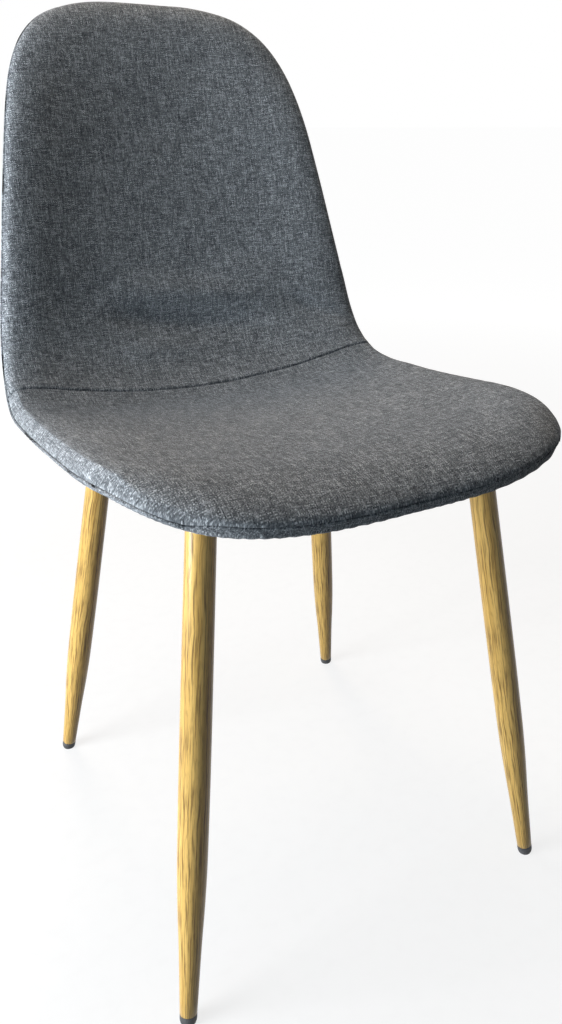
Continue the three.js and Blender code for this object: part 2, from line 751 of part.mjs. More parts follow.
function addArm(corner) {
  const start = hubReach + 2 * weldGap;
  const end = corner.armLength + armOverhang;
  const tube = roundedRectangle(new THREE.Shape(), armWidth, armHeight, armCornerRadius);
  const inner = [armWidth - 2 * armWall, armHeight - 2 * armWall, armCornerRadius - armWall];
  tube.holes.push(roundedRectangle(new THREE.Path(), ...inner));
  const hole = rod(boltDiameter + 2 * boltHoleClearance, -armHeight, armHeight);
  hole.translate(mountDistance, 0, 0);
  const arm = cut(barAlongX(tube, start, end), [hole]);
  addPiece(`frame_arm_${corner.name}`, arm, materials.frameSteel, corner.armFrame);

  const shrink = 2 * armWall + 2 * capPlugClearance;
  const plate = roundedRectangle(new THREE.Shape(), armWidth, armHeight, armCornerRadius);
  const plugSize = [armWidth - shrink, armHeight - shrink, armCornerRadius - armWall];
  const plug = roundedRectangle(new THREE.Shape(), ...plugSize);
  const cap = join(
    barAlongX(plate, end + weldGap, end + weldGap + capThickness),
    barAlongX(plug, end - capPlugLength, end + weldGap + capThickness / 2),
  );
  addPiece(`arm_cap_${corner.name}`, cap, materials.blackPlastic, corner.armFrame);
}

const cutBlockWidth = legDiameter + 2 * cutOverrun;

// Everything above the arm's lower face, less the weld gap, as a cutting body in the leg's frame
function aboveSeatOfLeg(corner) {
  const block = new THREE.BoxGeometry(cutBlockWidth, cutBlockWidth, 2 * cutOverrun);
  block.translate(corner.armLength, 0, cutOverrun - armHeight / 2 - weldGap);
  const toLeg = corner.legFrame.clone().invert().multiply(corner.armFrame);
  return block.applyMatrix4(toLeg);
}

function addLeg(corner) {
  const girth = monotoneCurve(legGirthShares);
  const length = corner.legLength;
  const above = aboveSeatOfLeg(corner);
  const outside = legGirthShares.map(([share]) => (
    [legDiameter / 2 * girth(share), glideHeight + (length - glideHeight) * share]
  ));
  outside.push([outside[outside.length - 1][0], length + cutOverrun / 2]);
  const inside = outside.map(([radius, z]) => [radius - legWall, z]).reverse();
  const tube = turned([...outside, ...inside, outside[0]], legSides);
  addPiece(`leg_${corner.name}`, cut(tube, [above]), materials.woodFilm, corner.legFrame);

  const topBore = outside[outside.length - 1][0] - legWall;
  const boss = washerRing(bossDiameter, studDiameter + 2 * studClearance, length - bossLength,
    length + cutOverrun / 2, smallSides);
  addPiece(`leg_boss_${corner.name}`, cut(boss, [above]), materials.frameSteel, corner.legFrame);

  const plugTop = length - bossLength - plugGap;
  const plug = topBore - plugClearance;
  addPiece(`leg_plug_${corner.name}`, turned([
    [0, plugTop - plugLength], [plug, plugTop - plugLength], [plug, plugTop],
    [studDiameter / 2, plugTop], [studDiameter / 2, plugTop + studLength], [0, plugTop + studLength],
  ], smallSides), materials.zinc, corner.legFrame);

  const footRadius = outside[0][0];
  const stem = footRadius - legWall - glideStemClearance;
  const glide = turned([
    [0, -glideSole], [footRadius * glideSoleShare, -glideSole], [footRadius * glideCurveShare, glideSole / 2],
    [footRadius, glideShoulder], [footRadius, glideHeight - weldGap], [stem, glideHeight - weldGap],
    [stem, glideHeight + glideStemLength], [0, glideHeight + glideStemLength],
  ], legSides);
  const floor = new THREE.BoxGeometry(cutBlockWidth, cutBlockWidth, 2 * cutOverrun);
  floor.translate(corner.foot.x, corner.foot.y, -cutOverrun);
  floor.applyMatrix4(corner.legFrame.clone().invert());
  addPiece(`foot_glide_${corner.name}`, cut(glide, [floor]), materials.blackPlastic, corner.legFrame);
}

addShell();
addHub();
corners.forEach((corner) => {
  addArm(corner);
  addSeatFixing(corner);
  addLeg(corner);
});

// The origin stands on the floor under the middle of the chair's box
chair.updateMatrixWorld(true);
const box = new THREE.Box3().setFromObject(chair, true);
standing.position.y = -(box.min.y + box.max.y) / 2;

export default chair;
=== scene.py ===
# %% [markdown]
# # An upholstered dining chair on four tube legs
# One curved shell makes the seat and the back. It is padded, covered in a heathered blue-grey cloth and
# bolted to a small steel underframe, and four splayed legs with a printed oak film are screwed to that
# frame. A model of real sizes is loaded first, and what it holds is in metres and in its place. Each cell
# then makes one piece or one finish around it.

# %% Load the frame of real sizes
import json
import math

import bmesh
import bpy
import numpy as np
from mathutils import Matrix, Vector


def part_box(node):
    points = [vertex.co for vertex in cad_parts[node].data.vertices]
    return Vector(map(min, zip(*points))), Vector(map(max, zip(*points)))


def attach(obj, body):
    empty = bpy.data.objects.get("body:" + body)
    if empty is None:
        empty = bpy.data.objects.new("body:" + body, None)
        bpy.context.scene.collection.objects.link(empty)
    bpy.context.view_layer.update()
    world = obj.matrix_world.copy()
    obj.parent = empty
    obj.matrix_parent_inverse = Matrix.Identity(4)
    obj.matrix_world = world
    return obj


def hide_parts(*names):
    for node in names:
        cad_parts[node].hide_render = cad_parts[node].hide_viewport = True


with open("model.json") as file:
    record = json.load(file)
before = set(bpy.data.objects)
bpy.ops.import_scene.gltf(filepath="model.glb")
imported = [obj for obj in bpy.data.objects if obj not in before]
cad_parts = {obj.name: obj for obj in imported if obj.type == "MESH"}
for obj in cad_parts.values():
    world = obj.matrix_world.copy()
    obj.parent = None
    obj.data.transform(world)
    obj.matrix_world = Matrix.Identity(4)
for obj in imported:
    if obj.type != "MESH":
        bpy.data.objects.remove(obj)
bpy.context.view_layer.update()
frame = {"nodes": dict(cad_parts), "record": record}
nodes = frame["nodes"]
mounts = {mount["name"]: Vector(mount["pos_m"]) for mount in frame["record"]["mounts"]}
corner_names = ["front_left", "front_right", "rear_right", "rear_left"]
scene = bpy.context.scene
body = "root"
print("loaded", len(nodes), "pieces")

# %% [markdown]
# ## The camera
# The chair was seen from its front left, a little above the seat, by a hand-held camera that was hardly
# tilted. The picture was cut off-centre from a larger one, so the lens is shifted: a shift slides the
# picture without turning the camera, which keeps the legs' slant as it was. Turning the camera instead
# would frame the chair as well, but its legs would lean another way.

# %% Set the camera
image_width = 562
image_height = 1024
focal_pixels = 911.96
centre_pixel = (340.31, 407.65)
sensor_width = 36
camera_place = Vector((-0.3781, -0.80725, 0.7379))
camera_turn = math.radians(30.7312)
camera_drop = math.radians(17.6845)
camera_roll = math.radians(0.3293)


def add_camera():
    data = bpy.data.cameras.new("camera")
    data.sensor_width = sensor_width
    data.lens = focal_pixels * sensor_width / image_height
    data.shift_x = (image_width / 2 - centre_pixel[0]) / image_height
    data.shift_y = (centre_pixel[1] - image_height / 2) / image_height
    data.clip_start = 0.01
    forward = Vector((
        math.sin(camera_turn) * math.cos(camera_drop),
        math.cos(camera_turn) * math.cos(camera_drop),
        -math.sin(camera_drop),
    ))
    level = forward.cross(Vector((0, 0, 1))).normalized()
    upward = level.cross(forward)
    right = level * math.cos(camera_roll) + upward * math.sin(camera_roll)
    up = upward * math.cos(camera_roll) - level * math.sin(camera_roll)
    turn = Matrix((right, up, -forward)).transposed().to_4x4()
    camera = bpy.data.objects.new("camera", data)
    camera.matrix_world = Matrix.Translation(camera_place) @ turn
    scene.collection.objects.link(camera)
    scene.camera = camera
    print("camera lens", round(data.lens, 2), "mm")


add_camera()

# %% [markdown]
# ## Sums on sockets
# A finish is mostly sums: a pattern times a strength plus a base. Wiring Math nodes one by one hides them,
# so a small class wraps a socket and lets Python's own operators add the nodes. One method adds any other
# node from its type, its settings and the values or links of its inputs.


# %% A socket that can be summed
class Wire:
    """An output of a node, on which Python's operators add Math nodes."""

    def __init__(self, wiring, socket):
        self.wiring = wiring
        self.socket = socket

    def math(self, operation, first, second=0.0, clamp=False):
        settings = {"operation": operation, "use_clamp": clamp}
        return self.wiring.add("ShaderNodeMath", settings, {0: first, 1: second})["Value"]

    def __add__(self, other):
        return self.math("ADD", self, other)

    def __sub__(self, other):
        return self.math("SUBTRACT", self, other)

    def __rsub__(self, other):
        return self.math("SUBTRACT", other, self)

    def __mul__(self, other):
        return self.math("MULTIPLY", self, other)

    def __truediv__(self, other):
        return self.math("DIVIDE", self, other)

    def __pow__(self, other):
        return self.math("POWER", self, other)

    def __gt__(self, other):
        return self.math("GREATER_THAN", self, other)

    def __abs__(self):
        return self.math("ABSOLUTE", self)

    def sine(self):
        return self.math("SINE", self)

    def floor(self):
        return self.math("FLOOR", self)

    def clamped(self):
        return self.math("ADD", self, 0.0, True)

    __radd__ = __add__
    __rmul__ = __mul__


print("sums, products and powers of sockets add Math nodes")


# %% Any other node from one method
class Wiring:
    """The nodes and links of one material or world."""

    def __init__(self, tree):
        self.tree = tree

    def add(self, kind, settings, values):
        node = self.tree.nodes.new(kind)
        for key, value in settings.items():
            if key == "stops":
                self.set_stops(node.color_ramp, value)
            else:
                setattr(node, key, value)
        self.feed(node, values)
        return {socket.name: Wire(self, socket) for socket in node.outputs if socket.enabled}

    def set_stops(self, ramp, stops):
        while len(ramp.elements) < len(stops):
            ramp.elements.new(1.0)
        for element, (place, colour) in zip(ramp.elements, stops):
            element.position = place
            element.color = (*colour, 1.0)

    def feed(self, node, values):
        for key, value in values.items():
            usable = [s for s in node.inputs if s.enabled and s.name == key]
            socket = node.inputs[key] if isinstance(key, int) else usable[0]
            if isinstance(value, Wire):
                self.tree.links.new(value.socket, socket)
            elif isinstance(value, tuple) and len(value) == 3 and socket.type == "RGBA":
                socket.default_value = (*value, 1.0)
            else:
                socket.default_value = value

    def split(self, vector):
        parts = self.add("ShaderNodeSeparateXYZ", {}, {"Vector": vector})
        return parts["X"], parts["Y"], parts["Z"]

    def place(self, x, y, z=0.0):
        return self.add("ShaderNodeCombineXYZ", {}, {"X": x, "Y": y, "Z": z})["Vector"]

    def noise(self, vector, scale=1.0, detail=2.0, roughness=0.5):
        values = {"Vector": vector, "Scale": scale, "Detail": detail, "Roughness": roughness}
        return self.add("ShaderNodeTexNoise", {}, values)["Fac"]

    def ramp(self, factor, *stops):
        return self.add("ShaderNodeValToRGB", {"stops": stops}, {0: factor})["Color"]

    def mix(self, factor, first, second):
        values = {"Factor": factor, "A": first, "B": second}
        return self.add("ShaderNodeMix", {"data_type": "RGBA"}, values)["Result"]

    def bump(self, height, depth, strength=1.0):
        values = {"Height": height, "Distance": depth, "Strength": strength}
        return self.add("ShaderNodeBump", {}, values)["Normal"]


print("one method adds any other node")


# %% Make a finish and dress a piece
def new_finish(name, values_of):
    """A material whose shader takes the values that values_of works out on its wiring."""
    material = bpy.data.materials.new(name)
    material.use_nodes = True
    wiring = Wiring(material.node_tree)
    wiring.feed(material.node_tree.nodes["Principled BSDF"], values_of(wiring))
    return material


def dress(piece, material):
    """Gives every face of a piece one material."""
    piece.data.materials.clear()
    piece.data.materials.append(material)


def object_place(wiring):
    """The place of a point on the piece in metres, which a pattern can follow."""
    return wiring.add("ShaderNodeTexCoord", {}, {})["Object"]


print("finishes can be made")

# %% [markdown]
# ## The cloth
# The cloth is a plain weave of slubby yarns, each spun from dark, middle and pale fibres, so single threads
# show as short light and dark streaks along and across. A picture of cloth would repeat and blur up close,
# so each thread is drawn by nodes: its number picks its own run of light and dark. The pattern is read from
# the piece's own map, which holds places on the flat cut in metres. So threads keep their true pitch and
# follow the cloth round the bend and over the edge.

# %% Make the cloth's finish
warp_pitch = 0.00100
weft_pitch = 0.00108
warp_slub_length = 0.020
weft_slub_length = 0.016
fleck_size = 0.0013
patch_size = 0.055
yarn_dark = (0.028, 0.031, 0.036)
yarn_middle = (0.146, 0.158, 0.172)
yarn_pale = (0.62, 0.65, 0.68)
yarn_contrast = 3.75
fleck_contrast = 0.5
patch_contrast = 0.10
# painted shade: how much darker the colour is in the gaps between the threads
thread_gap_shade = 0.14
middle_lightness = 0.44
weave_height = 0.00028


def yarn_tone(wiring, number, along, slub_length, seed):
    """How light one yarn is at a place along it. Each yarn has its own run of slubs: the odd factors on its
    number part it from its neighbours."""
    own = wiring.place(number * 7.31, along / slub_length, seed)
    long_slubs = wiring.noise(own, detail=2.0)
    short_slubs = wiring.noise(wiring.place(number * 3.77, along / slub_length * 9.0, seed + 5.0))
    thin_places = wiring.noise(wiring.place(number * 5.17, along / slub_length * 2.6, seed + 9.0))
    return long_slubs * 0.36 + short_slubs * 0.32 + thin_places * 0.32


def woven_cloth(wiring):
    across, along, _ = wiring.split(wiring.add("ShaderNodeUVMap", {"uv_map": "cut"}, {})["UV"])
    warp_number = (across / warp_pitch).floor()
    weft_number = (along / weft_pitch).floor()
    warp_wave = (across * (math.pi / warp_pitch)).sine()
    weft_wave = (along * (math.pi / weft_pitch)).sine()
    warp_tone = yarn_tone(wiring, warp_number, along, warp_slub_length, 3.0)
    weft_tone = yarn_tone(wiring, weft_number, across, weft_slub_length, 11.0)
    warp_over = warp_wave * weft_wave > 0.0
    tone = warp_tone * warp_over + weft_tone * (1.0 - warp_over)
    flecks = wiring.noise(wiring.place(across, along), scale=1 / fleck_size, detail=2.0)
    patches = wiring.noise(wiring.place(across, along, 4.0), scale=1 / patch_size, detail=3.0)
    hollow = abs(warp_wave * weft_wave)
    # The gaps between the threads are painted darker, a painted shade on top of the weave's own bump.
    lightness = ((tone - 0.5) * yarn_contrast + (flecks - 0.5) * fleck_contrast
                 + (patches - 0.5) * patch_contrast + (hollow - 0.5) * thread_gap_shade + middle_lightness)
    return {
        "Base Color": wiring.ramp(
            lightness, (0.0, yarn_dark), (middle_lightness, yarn_middle), (1.0, yarn_pale)),
        "Roughness": 0.95 - hollow * 0.12,
        "Normal": wiring.bump(hollow + tone * 0.8, weave_height, 0.4),
        "Specular IOR Level": 0.2,
        "Sheen Weight": 0.10,
        "Sheen Roughness": 0.5,
        "Sheen Tint": (0.75, 0.8, 0.9),
    }


cloth = new_finish("melange_cloth", woven_cloth)
print("weave pitch", warp_pitch, "by", weft_pitch)

# %% [markdown]
# ## The shell's form
# The upholstered face follows one middle line from the front edge up to the top. Sideways it is dished, so
# the edges stand toward the sitter. It could be sculpted by eye, but every layer of the chair lies on this
# form, so it is worked out from a few sizes, the same ones as in the frame. A place on it is told as on the
# flat cut: x sideways, run along the middle line, and depth below the face.

# %% Sizes of the shell
seat_run = 0.338
bend_run = 0.193
back_run = 0.263
top_run = 0.070
whole_run = seat_run + bend_run + back_run + top_run
front_roll_run = 0.098
front_roll_angle = math.radians(15.6)
seat_angle = math.radians(-6.6)
back_angle = math.radians(76.8)
top_angle = math.radians(62.0)
seat_height = 0.461
seat_height_run = 0.220
seat_width = 0.440
back_top_width = 0.333
front_round_run = 0.218
front_round_power = 3.2
top_round_run = 0.192
top_round_power = 2.93
dish_depth = 0.0327
dish_power = 2.05
width_shares = [(0, 1.26), (0.14, 0.98), (0.28, 0.98), (0.42, 1), (0.56, 0.83), (0.72, 0.45), (0.88, 0.08),
                (1, 0)]
dish_shares = [(0, 0.28), (0.14, 0.6), (0.3, 0.62), (0.45, 0.83), (0.62, 0.96), (0.8, 1), (1, 0.48)]
front_foot_setback = 0.049
front_edge_y = mounts["foot_front_left"].y - front_foot_setback
print("the flat cut is", round(whole_run, 3), "m long and", seat_width, "m wide")


# %% Curves through a few values
def smooth_curve(pairs):
    """A smooth curve through pairs of place and value that never overshoots them."""
    places, values = np.array(pairs, float).T
    widths = np.diff(places)
    slopes = np.diff(values) / widths
    tangents = np.concatenate([[slopes[0]], np.zeros(len(slopes) - 1), [slopes[-1]]])
    for i in range(1, len(slopes)):
        if slopes[i - 1] * slopes[i] > 0:
            before = 2 * widths[i] + widths[i - 1]
            after = widths[i] + 2 * widths[i - 1]
            tangents[i] = (before + after) / (before / slopes[i - 1] + after / slopes[i])

    def value_at(place):
        place = np.asarray(place, float)
        i = np.clip(np.searchsorted(places, place) - 1, 0, len(widths) - 1)
        t = np.clip((place - places[i]) / widths[i], 0, 1)
        rise = (3 - 2 * t) * t * t
        lift = t * (1 - t) * widths[i] * (tangents[i] * (1 - t) - tangents[i + 1] * t)
        return values[i] * (1 - rise) + values[i + 1] * rise + lift

    return value_at


def ease(share):
    """Nought to one, with a soft start and a soft end."""
    share = np.clip(share, 0, 1)
    return share * share * (3 - 2 * share)


print("half-way an ease is at", ease(0.5))

# %% The middle line
curve_steps = 4000


def slope_at(run):
    """The slope of the middle line, which changes softly from each stretch to the next."""
    rise_to_seat = (seat_angle - front_roll_angle) * ease(run / front_roll_run)
    rise_to_back = (back_angle - seat_angle) * ease((run - seat_run) / bend_run)
    rise_to_top = (top_angle - back_angle) * ease((run - seat_run - bend_run - back_run) / top_run)
    return front_roll_angle + rise_to_seat + rise_to_back + rise_to_top


width_curve = smooth_curve(width_shares)
dish_curve = smooth_curve(dish_shares)
line_run = np.linspace(0, whole_run, curve_steps + 1)
line_slope = slope_at((line_run[1:] + line_run[:-1]) / 2)
line_y = np.concatenate([[0], np.cumsum(np.cos(line_slope))]) * line_run[1]
line_z = np.concatenate([[0], np.cumsum(np.sin(line_slope))]) * line_run[1]
line_z += seat_height - np.interp(seat_height_run, line_run, line_z)
line_y += front_edge_y
print("middle line runs up to", round(line_z[-1], 3), "m")


# %% From the flat cut to the shell
def square_width(run):
    return back_top_width + (seat_width - back_top_width) * width_curve(run / whole_run)


def half_width(run):
    front = np.clip(1 - run / front_round_run, 0, 1)
    top = np.clip(1 - (whole_run - run) / top_round_run, 0, 1)
    front_rounding = (1 - front ** front_round_power) ** (1 / front_round_power)
    top_rounding = (1 - top ** top_round_power) ** (1 / top_round_power)
    return square_width(run) * front_rounding * top_rounding / 2


def shell_points(x, run, depth):
    """Points of the shell, one row each, from places on the flat cut and depths below the face."""
    x, run, depth = (np.asarray(value, float) for value in (x, run, depth))
    slope = slope_at(run)
    dish = dish_depth * dish_curve(run / whole_run) * (2 * np.abs(x) / square_width(run)) ** dish_power
    lift = dish - depth
    y = np.interp(run, line_run, line_y) - np.sin(slope) * lift
    z = np.interp(run, line_run, line_z) + np.cos(slope) * lift
    return np.stack(np.broadcast_arrays(x, y, z), axis=-1)


def half_outline():
    turn = np.linspace(0, math.pi, curve_steps + 1)
    run = whole_run * (1 - np.cos(turn)) / 2
    x = half_width(run)
    length = np.concatenate([[0], np.cumsum(np.hypot(np.diff(x), np.diff(run)))])
    return x, run, length


outline_x, outline_run, outline_length = half_outline()
outline_heading = np.arctan2(np.diff(outline_run), np.diff(outline_x))
front_corner = outline_length[np.argmax(outline_heading > math.pi / 4)]
top_corner = outline_length[np.argmax(outline_heading > 3 * math.pi / 4)]
half_length = outline_length[-1]


def on_outline(signed_length):
    """The place on the outline at a length from the front tip, to the right where it is above zero."""
    far = np.abs(signed_length) > half_length
    wrapped = np.where(far, signed_length - np.sign(signed_length) * 2 * half_length, signed_length)
    x = np.interp(np.abs(wrapped), outline_length, outline_x)
    run = np.interp(np.abs(wrapped), outline_length, outline_run)
    return np.stack([np.where(wrapped < 0, -x, x), run], axis=-1)


print("outline is", round(2 * half_length, 3), "m round")

# %% [markdown]
# ## The flat cut
# A padded shell could be remeshed from the frame's solid, but that loses the map of the flat cloth. So the
# cloth is laid out flat, as a sewer would cut it: four-sided faces fill the middle, and rings run round the
# rim. One row of faces ends exactly on the cross seam between the seat panel and the back panel, with
# closer rows beside it, so the seam gets real lips.

# %% Lay out the flat cut
edge_roll_width = 0.042
cross_seam_run = 0.4091
cross_seam_bow = 0.0159
seam_row_gaps = np.array([0.0008, 0.0020, 0.0040, 0.0075])
seam_fade = 0.110
face_size = 0.0070
columns = 50


def seam_run_at(x):
    bow = np.minimum(np.abs(x) / (seat_width / 2 - edge_roll_width), 1) ** 2
    return cross_seam_run + cross_seam_bow * bow * (1 - edge_roll_width / (seat_width / 2)) ** 2


def side_rows():
    """Lengths along the outline where rows of faces end, and which of them is the cross seam."""
    off_seam = outline_run - seam_run_at(outline_x)
    side = (outline_length > front_corner) & (outline_length < top_corner)
    seam = np.interp(0, off_seam[side], outline_length[side])
    below = seam - seam_row_gaps[::-1]
    above = seam + seam_row_gaps
    front_count = round((below[0] - front_corner) / face_size)
    back_count = round((top_corner - above[-1]) / face_size)
    front_rows = np.linspace(front_corner, below[0], front_count + 1)
    back_rows = np.linspace(above[-1], top_corner, back_count + 1)
    rows = np.concatenate([front_rows, below[1:], [seam], above[:-1], back_rows])
    return rows, len(front_rows) + len(below) - 1


rows, seam_row = side_rows()
row_count = len(rows)
loop_count = 2 * columns + 2 * (row_count - 1)
front_side = on_outline(np.linspace(-front_corner, front_corner, columns + 1))
right_side = on_outline(rows)
left_side = right_side * [-1, 1]
top_reach = half_length - top_corner
top_side = on_outline(np.linspace(-top_corner, -top_corner - 2 * top_reach, columns + 1))
outline_loop = np.concatenate([front_side[:-1], right_side[:-1], top_side[::-1][:-1], left_side[::-1][:-1]])
right_index = columns + np.arange(row_count)
left_index = (2 * columns + row_count - 1 + np.arange(row_count)[::-1]) % loop_count
row_pull = 1 - ease((np.abs(rows - rows[seam_row]) - seam_row_gaps[-1]) / seam_fade)
print("flat cut:", row_count, "rows,", columns, "columns,", loop_count, "places round the rim")


# %% Rings and middle of the cut
def shrunk_loop(inset):
    """The outline drawn in toward the spine of the cut, or out where the inset is below zero. An inset may
    differ from place to place."""
    x, run = outline_loop.T
    spine = np.clip(run, front_round_run, whole_run - top_round_run)
    reach = np.hypot(x, run - spine)
    share = (reach - np.asarray(inset)) / reach
    return np.stack([x * share, spine + (run - spine) * share], axis=-1)


def pull_to_seam(places):
    """Slides rows along the run so that the seam's row lies on the seam."""
    shift = seam_run_at(places[seam_row, ..., 0]) - places[seam_row, ..., 1]
    moved = places.copy()
    moved[..., 1] += row_pull.reshape(-1, *[1] * shift.ndim) * shift
    return moved


def ring_on_cut(inset):
    ring = shrunk_loop(inset)
    ring[right_index] = pull_to_seam(ring[right_index])
    ring[left_index] = pull_to_seam(ring[left_index])
    return ring


def middle_of_cut():
    """The middle of the cut, filled from its four sides, as rows of places."""
    loop = shrunk_loop(edge_roll_width)
    front = loop[:columns + 1]
    right = loop[right_index]
    left = loop[left_index]
    top_start = columns + row_count - 1
    top = loop[top_start:top_start + columns + 1][::-1]
    u = np.linspace(0, 1, columns + 1)[None, :, None]
    v = ((rows - rows[0]) / (rows[-1] - rows[0]))[:, None, None]
    along_rows = (1 - v) * front[None] + v * top[None]
    along_columns = (1 - u) * left[:, None] + u * right[:, None]
    corners = ((1 - u) * (1 - v) * front[0] + u * (1 - v) * front[-1]
               + (1 - u) * v * top[0] + u * v * top[-1])
    return pull_to_seam(along_rows + along_columns - corners)


print("the middle of the cut has", middle_of_cut().shape[0] - 1, "rows of faces")


# %% Cut a panel from rings and the middle
def cut_panel(edge_rings, face_depth, turned_over=False):
    """A sheet of places and faces. Each edge ring is (inset, depth, spread), where spread is how far beyond
    the outline the ring lies on the flat cut. A depth may differ from place to place round the rim. Turned
    over, the faces look away from the sitter."""
    middle = middle_of_cut().reshape(-1, 2)
    grid = np.arange(row_count * (columns + 1)).reshape(row_count, columns + 1)
    border = np.concatenate([grid[0, :-1], grid[:-1, -1], grid[-1, ::-1][:-1], grid[::-1, 0][:-1]])
    places = [middle]
    flats = [middle]
    depths = [np.full(len(middle), face_depth)]
    quads = [np.stack([grid[:-1, :-1], grid[:-1, 1:], grid[1:, 1:], grid[1:, :-1]], -1).reshape(-1, 4)]
    inner = border
    count = len(middle)
    for inset, depth, spread in edge_rings:
        outer = count + np.arange(loop_count)
        count += loop_count
        quads.append(np.stack([inner, outer, np.roll(outer, -1), np.roll(inner, -1)], -1))
        places.append(ring_on_cut(inset))
        flats.append(ring_on_cut(inset - spread))
        depths.append(np.broadcast_to(depth, loop_count))
        inner = outer
    places, flats, depths = np.concatenate(places), np.concatenate(flats), np.concatenate(depths)
    quads = np.concatenate(quads)
    return {
        "points": shell_points(places[:, 0], places[:, 1], depths),
        "flat": flats,
        "depth": depths,
        "quads": quads[:, ::-1] if turned_over else quads,
        "rim": inner,
    }


print("panels can be cut")

# %% [markdown]
# ## Meshes and modifiers
# Some steps come back for many pieces: a mesh is made from places and faces, a modifier is added and
# applied, or all places are read and moved at once. A loop over thousands of points is slow in Python, so
# they are read and written as whole tables of numbers.


# %% Make, read and move meshes
def mesh_piece(name, points, faces, flat=None):
    """An object from points and faces, which keeps its places on the flat cut as an attribute."""
    mesh = bpy.data.meshes.new(name)
    mesh.from_pydata(points.tolist(), [], [list(map(int, face)) for face in faces])
    if flat is not None:
        attribute = mesh.attributes.new("flat", "FLOAT_VECTOR", "POINT")
        attribute.data.foreach_set("vector", np.column_stack([flat, np.zeros(len(flat))]).ravel())
    mesh.shade_smooth()
    piece = bpy.data.objects.new(name, mesh)
    scene.collection.objects.link(piece)
    return piece


def only(piece):
    """Selects one piece and nothing else."""
    bpy.ops.object.select_all(action="DESELECT")
    piece.select_set(True)
    bpy.context.view_layer.objects.active = piece


def finish_modifier(piece, kind, **settings):
    """Adds a modifier with these settings and applies it."""
    only(piece)
    modifier = piece.modifiers.new(kind.lower(), kind)
    for key, value in settings.items():
        setattr(modifier, key, value)
    bpy.ops.object.modifier_apply(modifier=modifier.name)


def points_of(piece):
    found = np.zeros(len(piece.data.vertices) * 3)
    piece.data.vertices.foreach_get("co", found)
    return found.reshape(-1, 3)


def move_to(piece, points):
    piece.data.vertices.foreach_set("co", points.ravel())
    piece.data.update()


def flat_of(piece):
    """The places of a piece's points on the flat cut."""
    found = np.zeros(len(piece.data.vertices) * 3)
    piece.data.attributes["flat"].data.foreach_get("vector", found)
    return found.reshape(-1, 3)[:, :2]


def normals_of(piece):
    found = np.zeros(len(piece.data.vertices) * 3)
    piece.data.vertex_normals.foreach_get("vector", found)
    return found.reshape(-1, 3)


def map_from_flat(piece):
    """Turns the places on the flat cut into the piece's map, which the weave follows."""
    flat = flat_of(piece)
    vertex_of_loop = np.zeros(len(piece.data.loops), int)
    piece.data.loops.foreach_get("vertex_index", vertex_of_loop)
    layer = piece.data.uv_layers.new(name="cut")
    layer.data.foreach_set("uv", flat[vertex_of_loop].ravel())


print("meshes can be made")

# %% [markdown]
# ## The edge seam
# The front cover rolls over the rim and meets the rear cover in a seam. At the front the seam runs about
# halfway down the edge and leaves a narrow band below it. Round the corners it drops to the lower edge, so
# along the sides and the back only the front cover shows. A bevel on a finished rim would be the same all
# round. So the roll is made of rings, whose depth is worked out for each place on the rim. At the front and
# the back the edge is a plain quarter of an ellipse. Along the sides of the seat the foam's edge was cut at
# a slant, and the cover turns over a firm line about a centimetre from the outline.

# %% Place the edge seam
front_seam_depth = 0.0105
side_seam_depth = 0.0164
seam_drop_start_run = 0.019
seam_drop_length_run = 0.018
# how far in from the outline and beyond the seam each step of the tucked-in cloth lies
tuck_steps = [(0.0007, 0.0003), (0.0024, 0.0005)]
roll_turns = [14, 26, 37, 46, 53, 59, 65, 70, 75, 80, 85, 90]
# shares of the roll's width in from the outline, and of its depth, along the slanted edge
slant_insets = [0.86, 0.70, 0.55, 0.42, 0.335, 0.28, 0.245, 0.225, 0.19, 0.13, 0.06, 0]
slant_depths = [0.003, 0.010, 0.025, 0.050, 0.075, 0.098, 0.122, 0.155, 0.265, 0.445, 0.68, 1]
slant_start_run = 0.050
slant_end_run = 0.400
slant_fade_run = 0.050
slant_back_share = 0.25
slant_top_run = 0.20
slant_top_fade_run = 0.10
slant_most = 0.85

rim_run = outline_loop[:, 1]
seam_drop = ease((rim_run - seam_drop_start_run) / seam_drop_length_run)
seam_depth = front_seam_depth + (side_seam_depth - front_seam_depth) * seam_drop
slant_rise = ease((rim_run - slant_start_run) / slant_fade_run)
slant_share = slant_rise * (1 - (1 - slant_back_share) * ease((rim_run - slant_end_run) / slant_fade_run))
slant_share *= slant_most * (1 - ease((rim_run - whole_run + slant_top_run) / slant_top_fade_run))


def roll_profile(inside=0.0):
    """Rings over the rolled edge, from the face to the edge seam, at a distance inside the cover."""
    turns = np.radians([0] + roll_turns)[:, None]
    round_inset, round_depth = 1 - np.sin(turns), 1 - np.cos(turns)
    slant_inset, slant_depth = np.array([1] + slant_insets)[:, None], np.array([0] + slant_depths)[:, None]
    insets = edge_roll_width * (round_inset + (slant_inset - round_inset) * slant_share)
    depths = seam_depth * (round_depth + (slant_depth - round_depth) * slant_share)
    out, down = -np.gradient(insets, axis=0), np.gradient(depths, axis=0)
    length = np.hypot(out, down)
    insets = insets + inside * down / length
    depths = depths + inside * out / length
    return [(insets[k], depths[k], 0.0) for k in range(1, len(insets))]


print("edge seam lies", front_seam_depth, "to", side_seam_depth, "m deep")

# %% [markdown]
# ## The front cover settles on its padding
# The cover is sewn to size and pulled over foam. Cloth simulation gives it life: the seams are pinned,
# a light pressure stands for the foam that pushes out, and the foam's hold is a weak pull back to the
# shape it was cut to. Only the outward part of the movement is kept and it is capped, so the chair keeps
# its size and nothing sinks into the foam.

# %% Cut and settle the front cover
settle_pressure = 6.0
settle_slack = -0.004
settle_frames = 16
settle_hold = 0.30
settle_cap = 0.0016
pinned_beside_seam = 0.0045
pinned_depth_share = 0.8


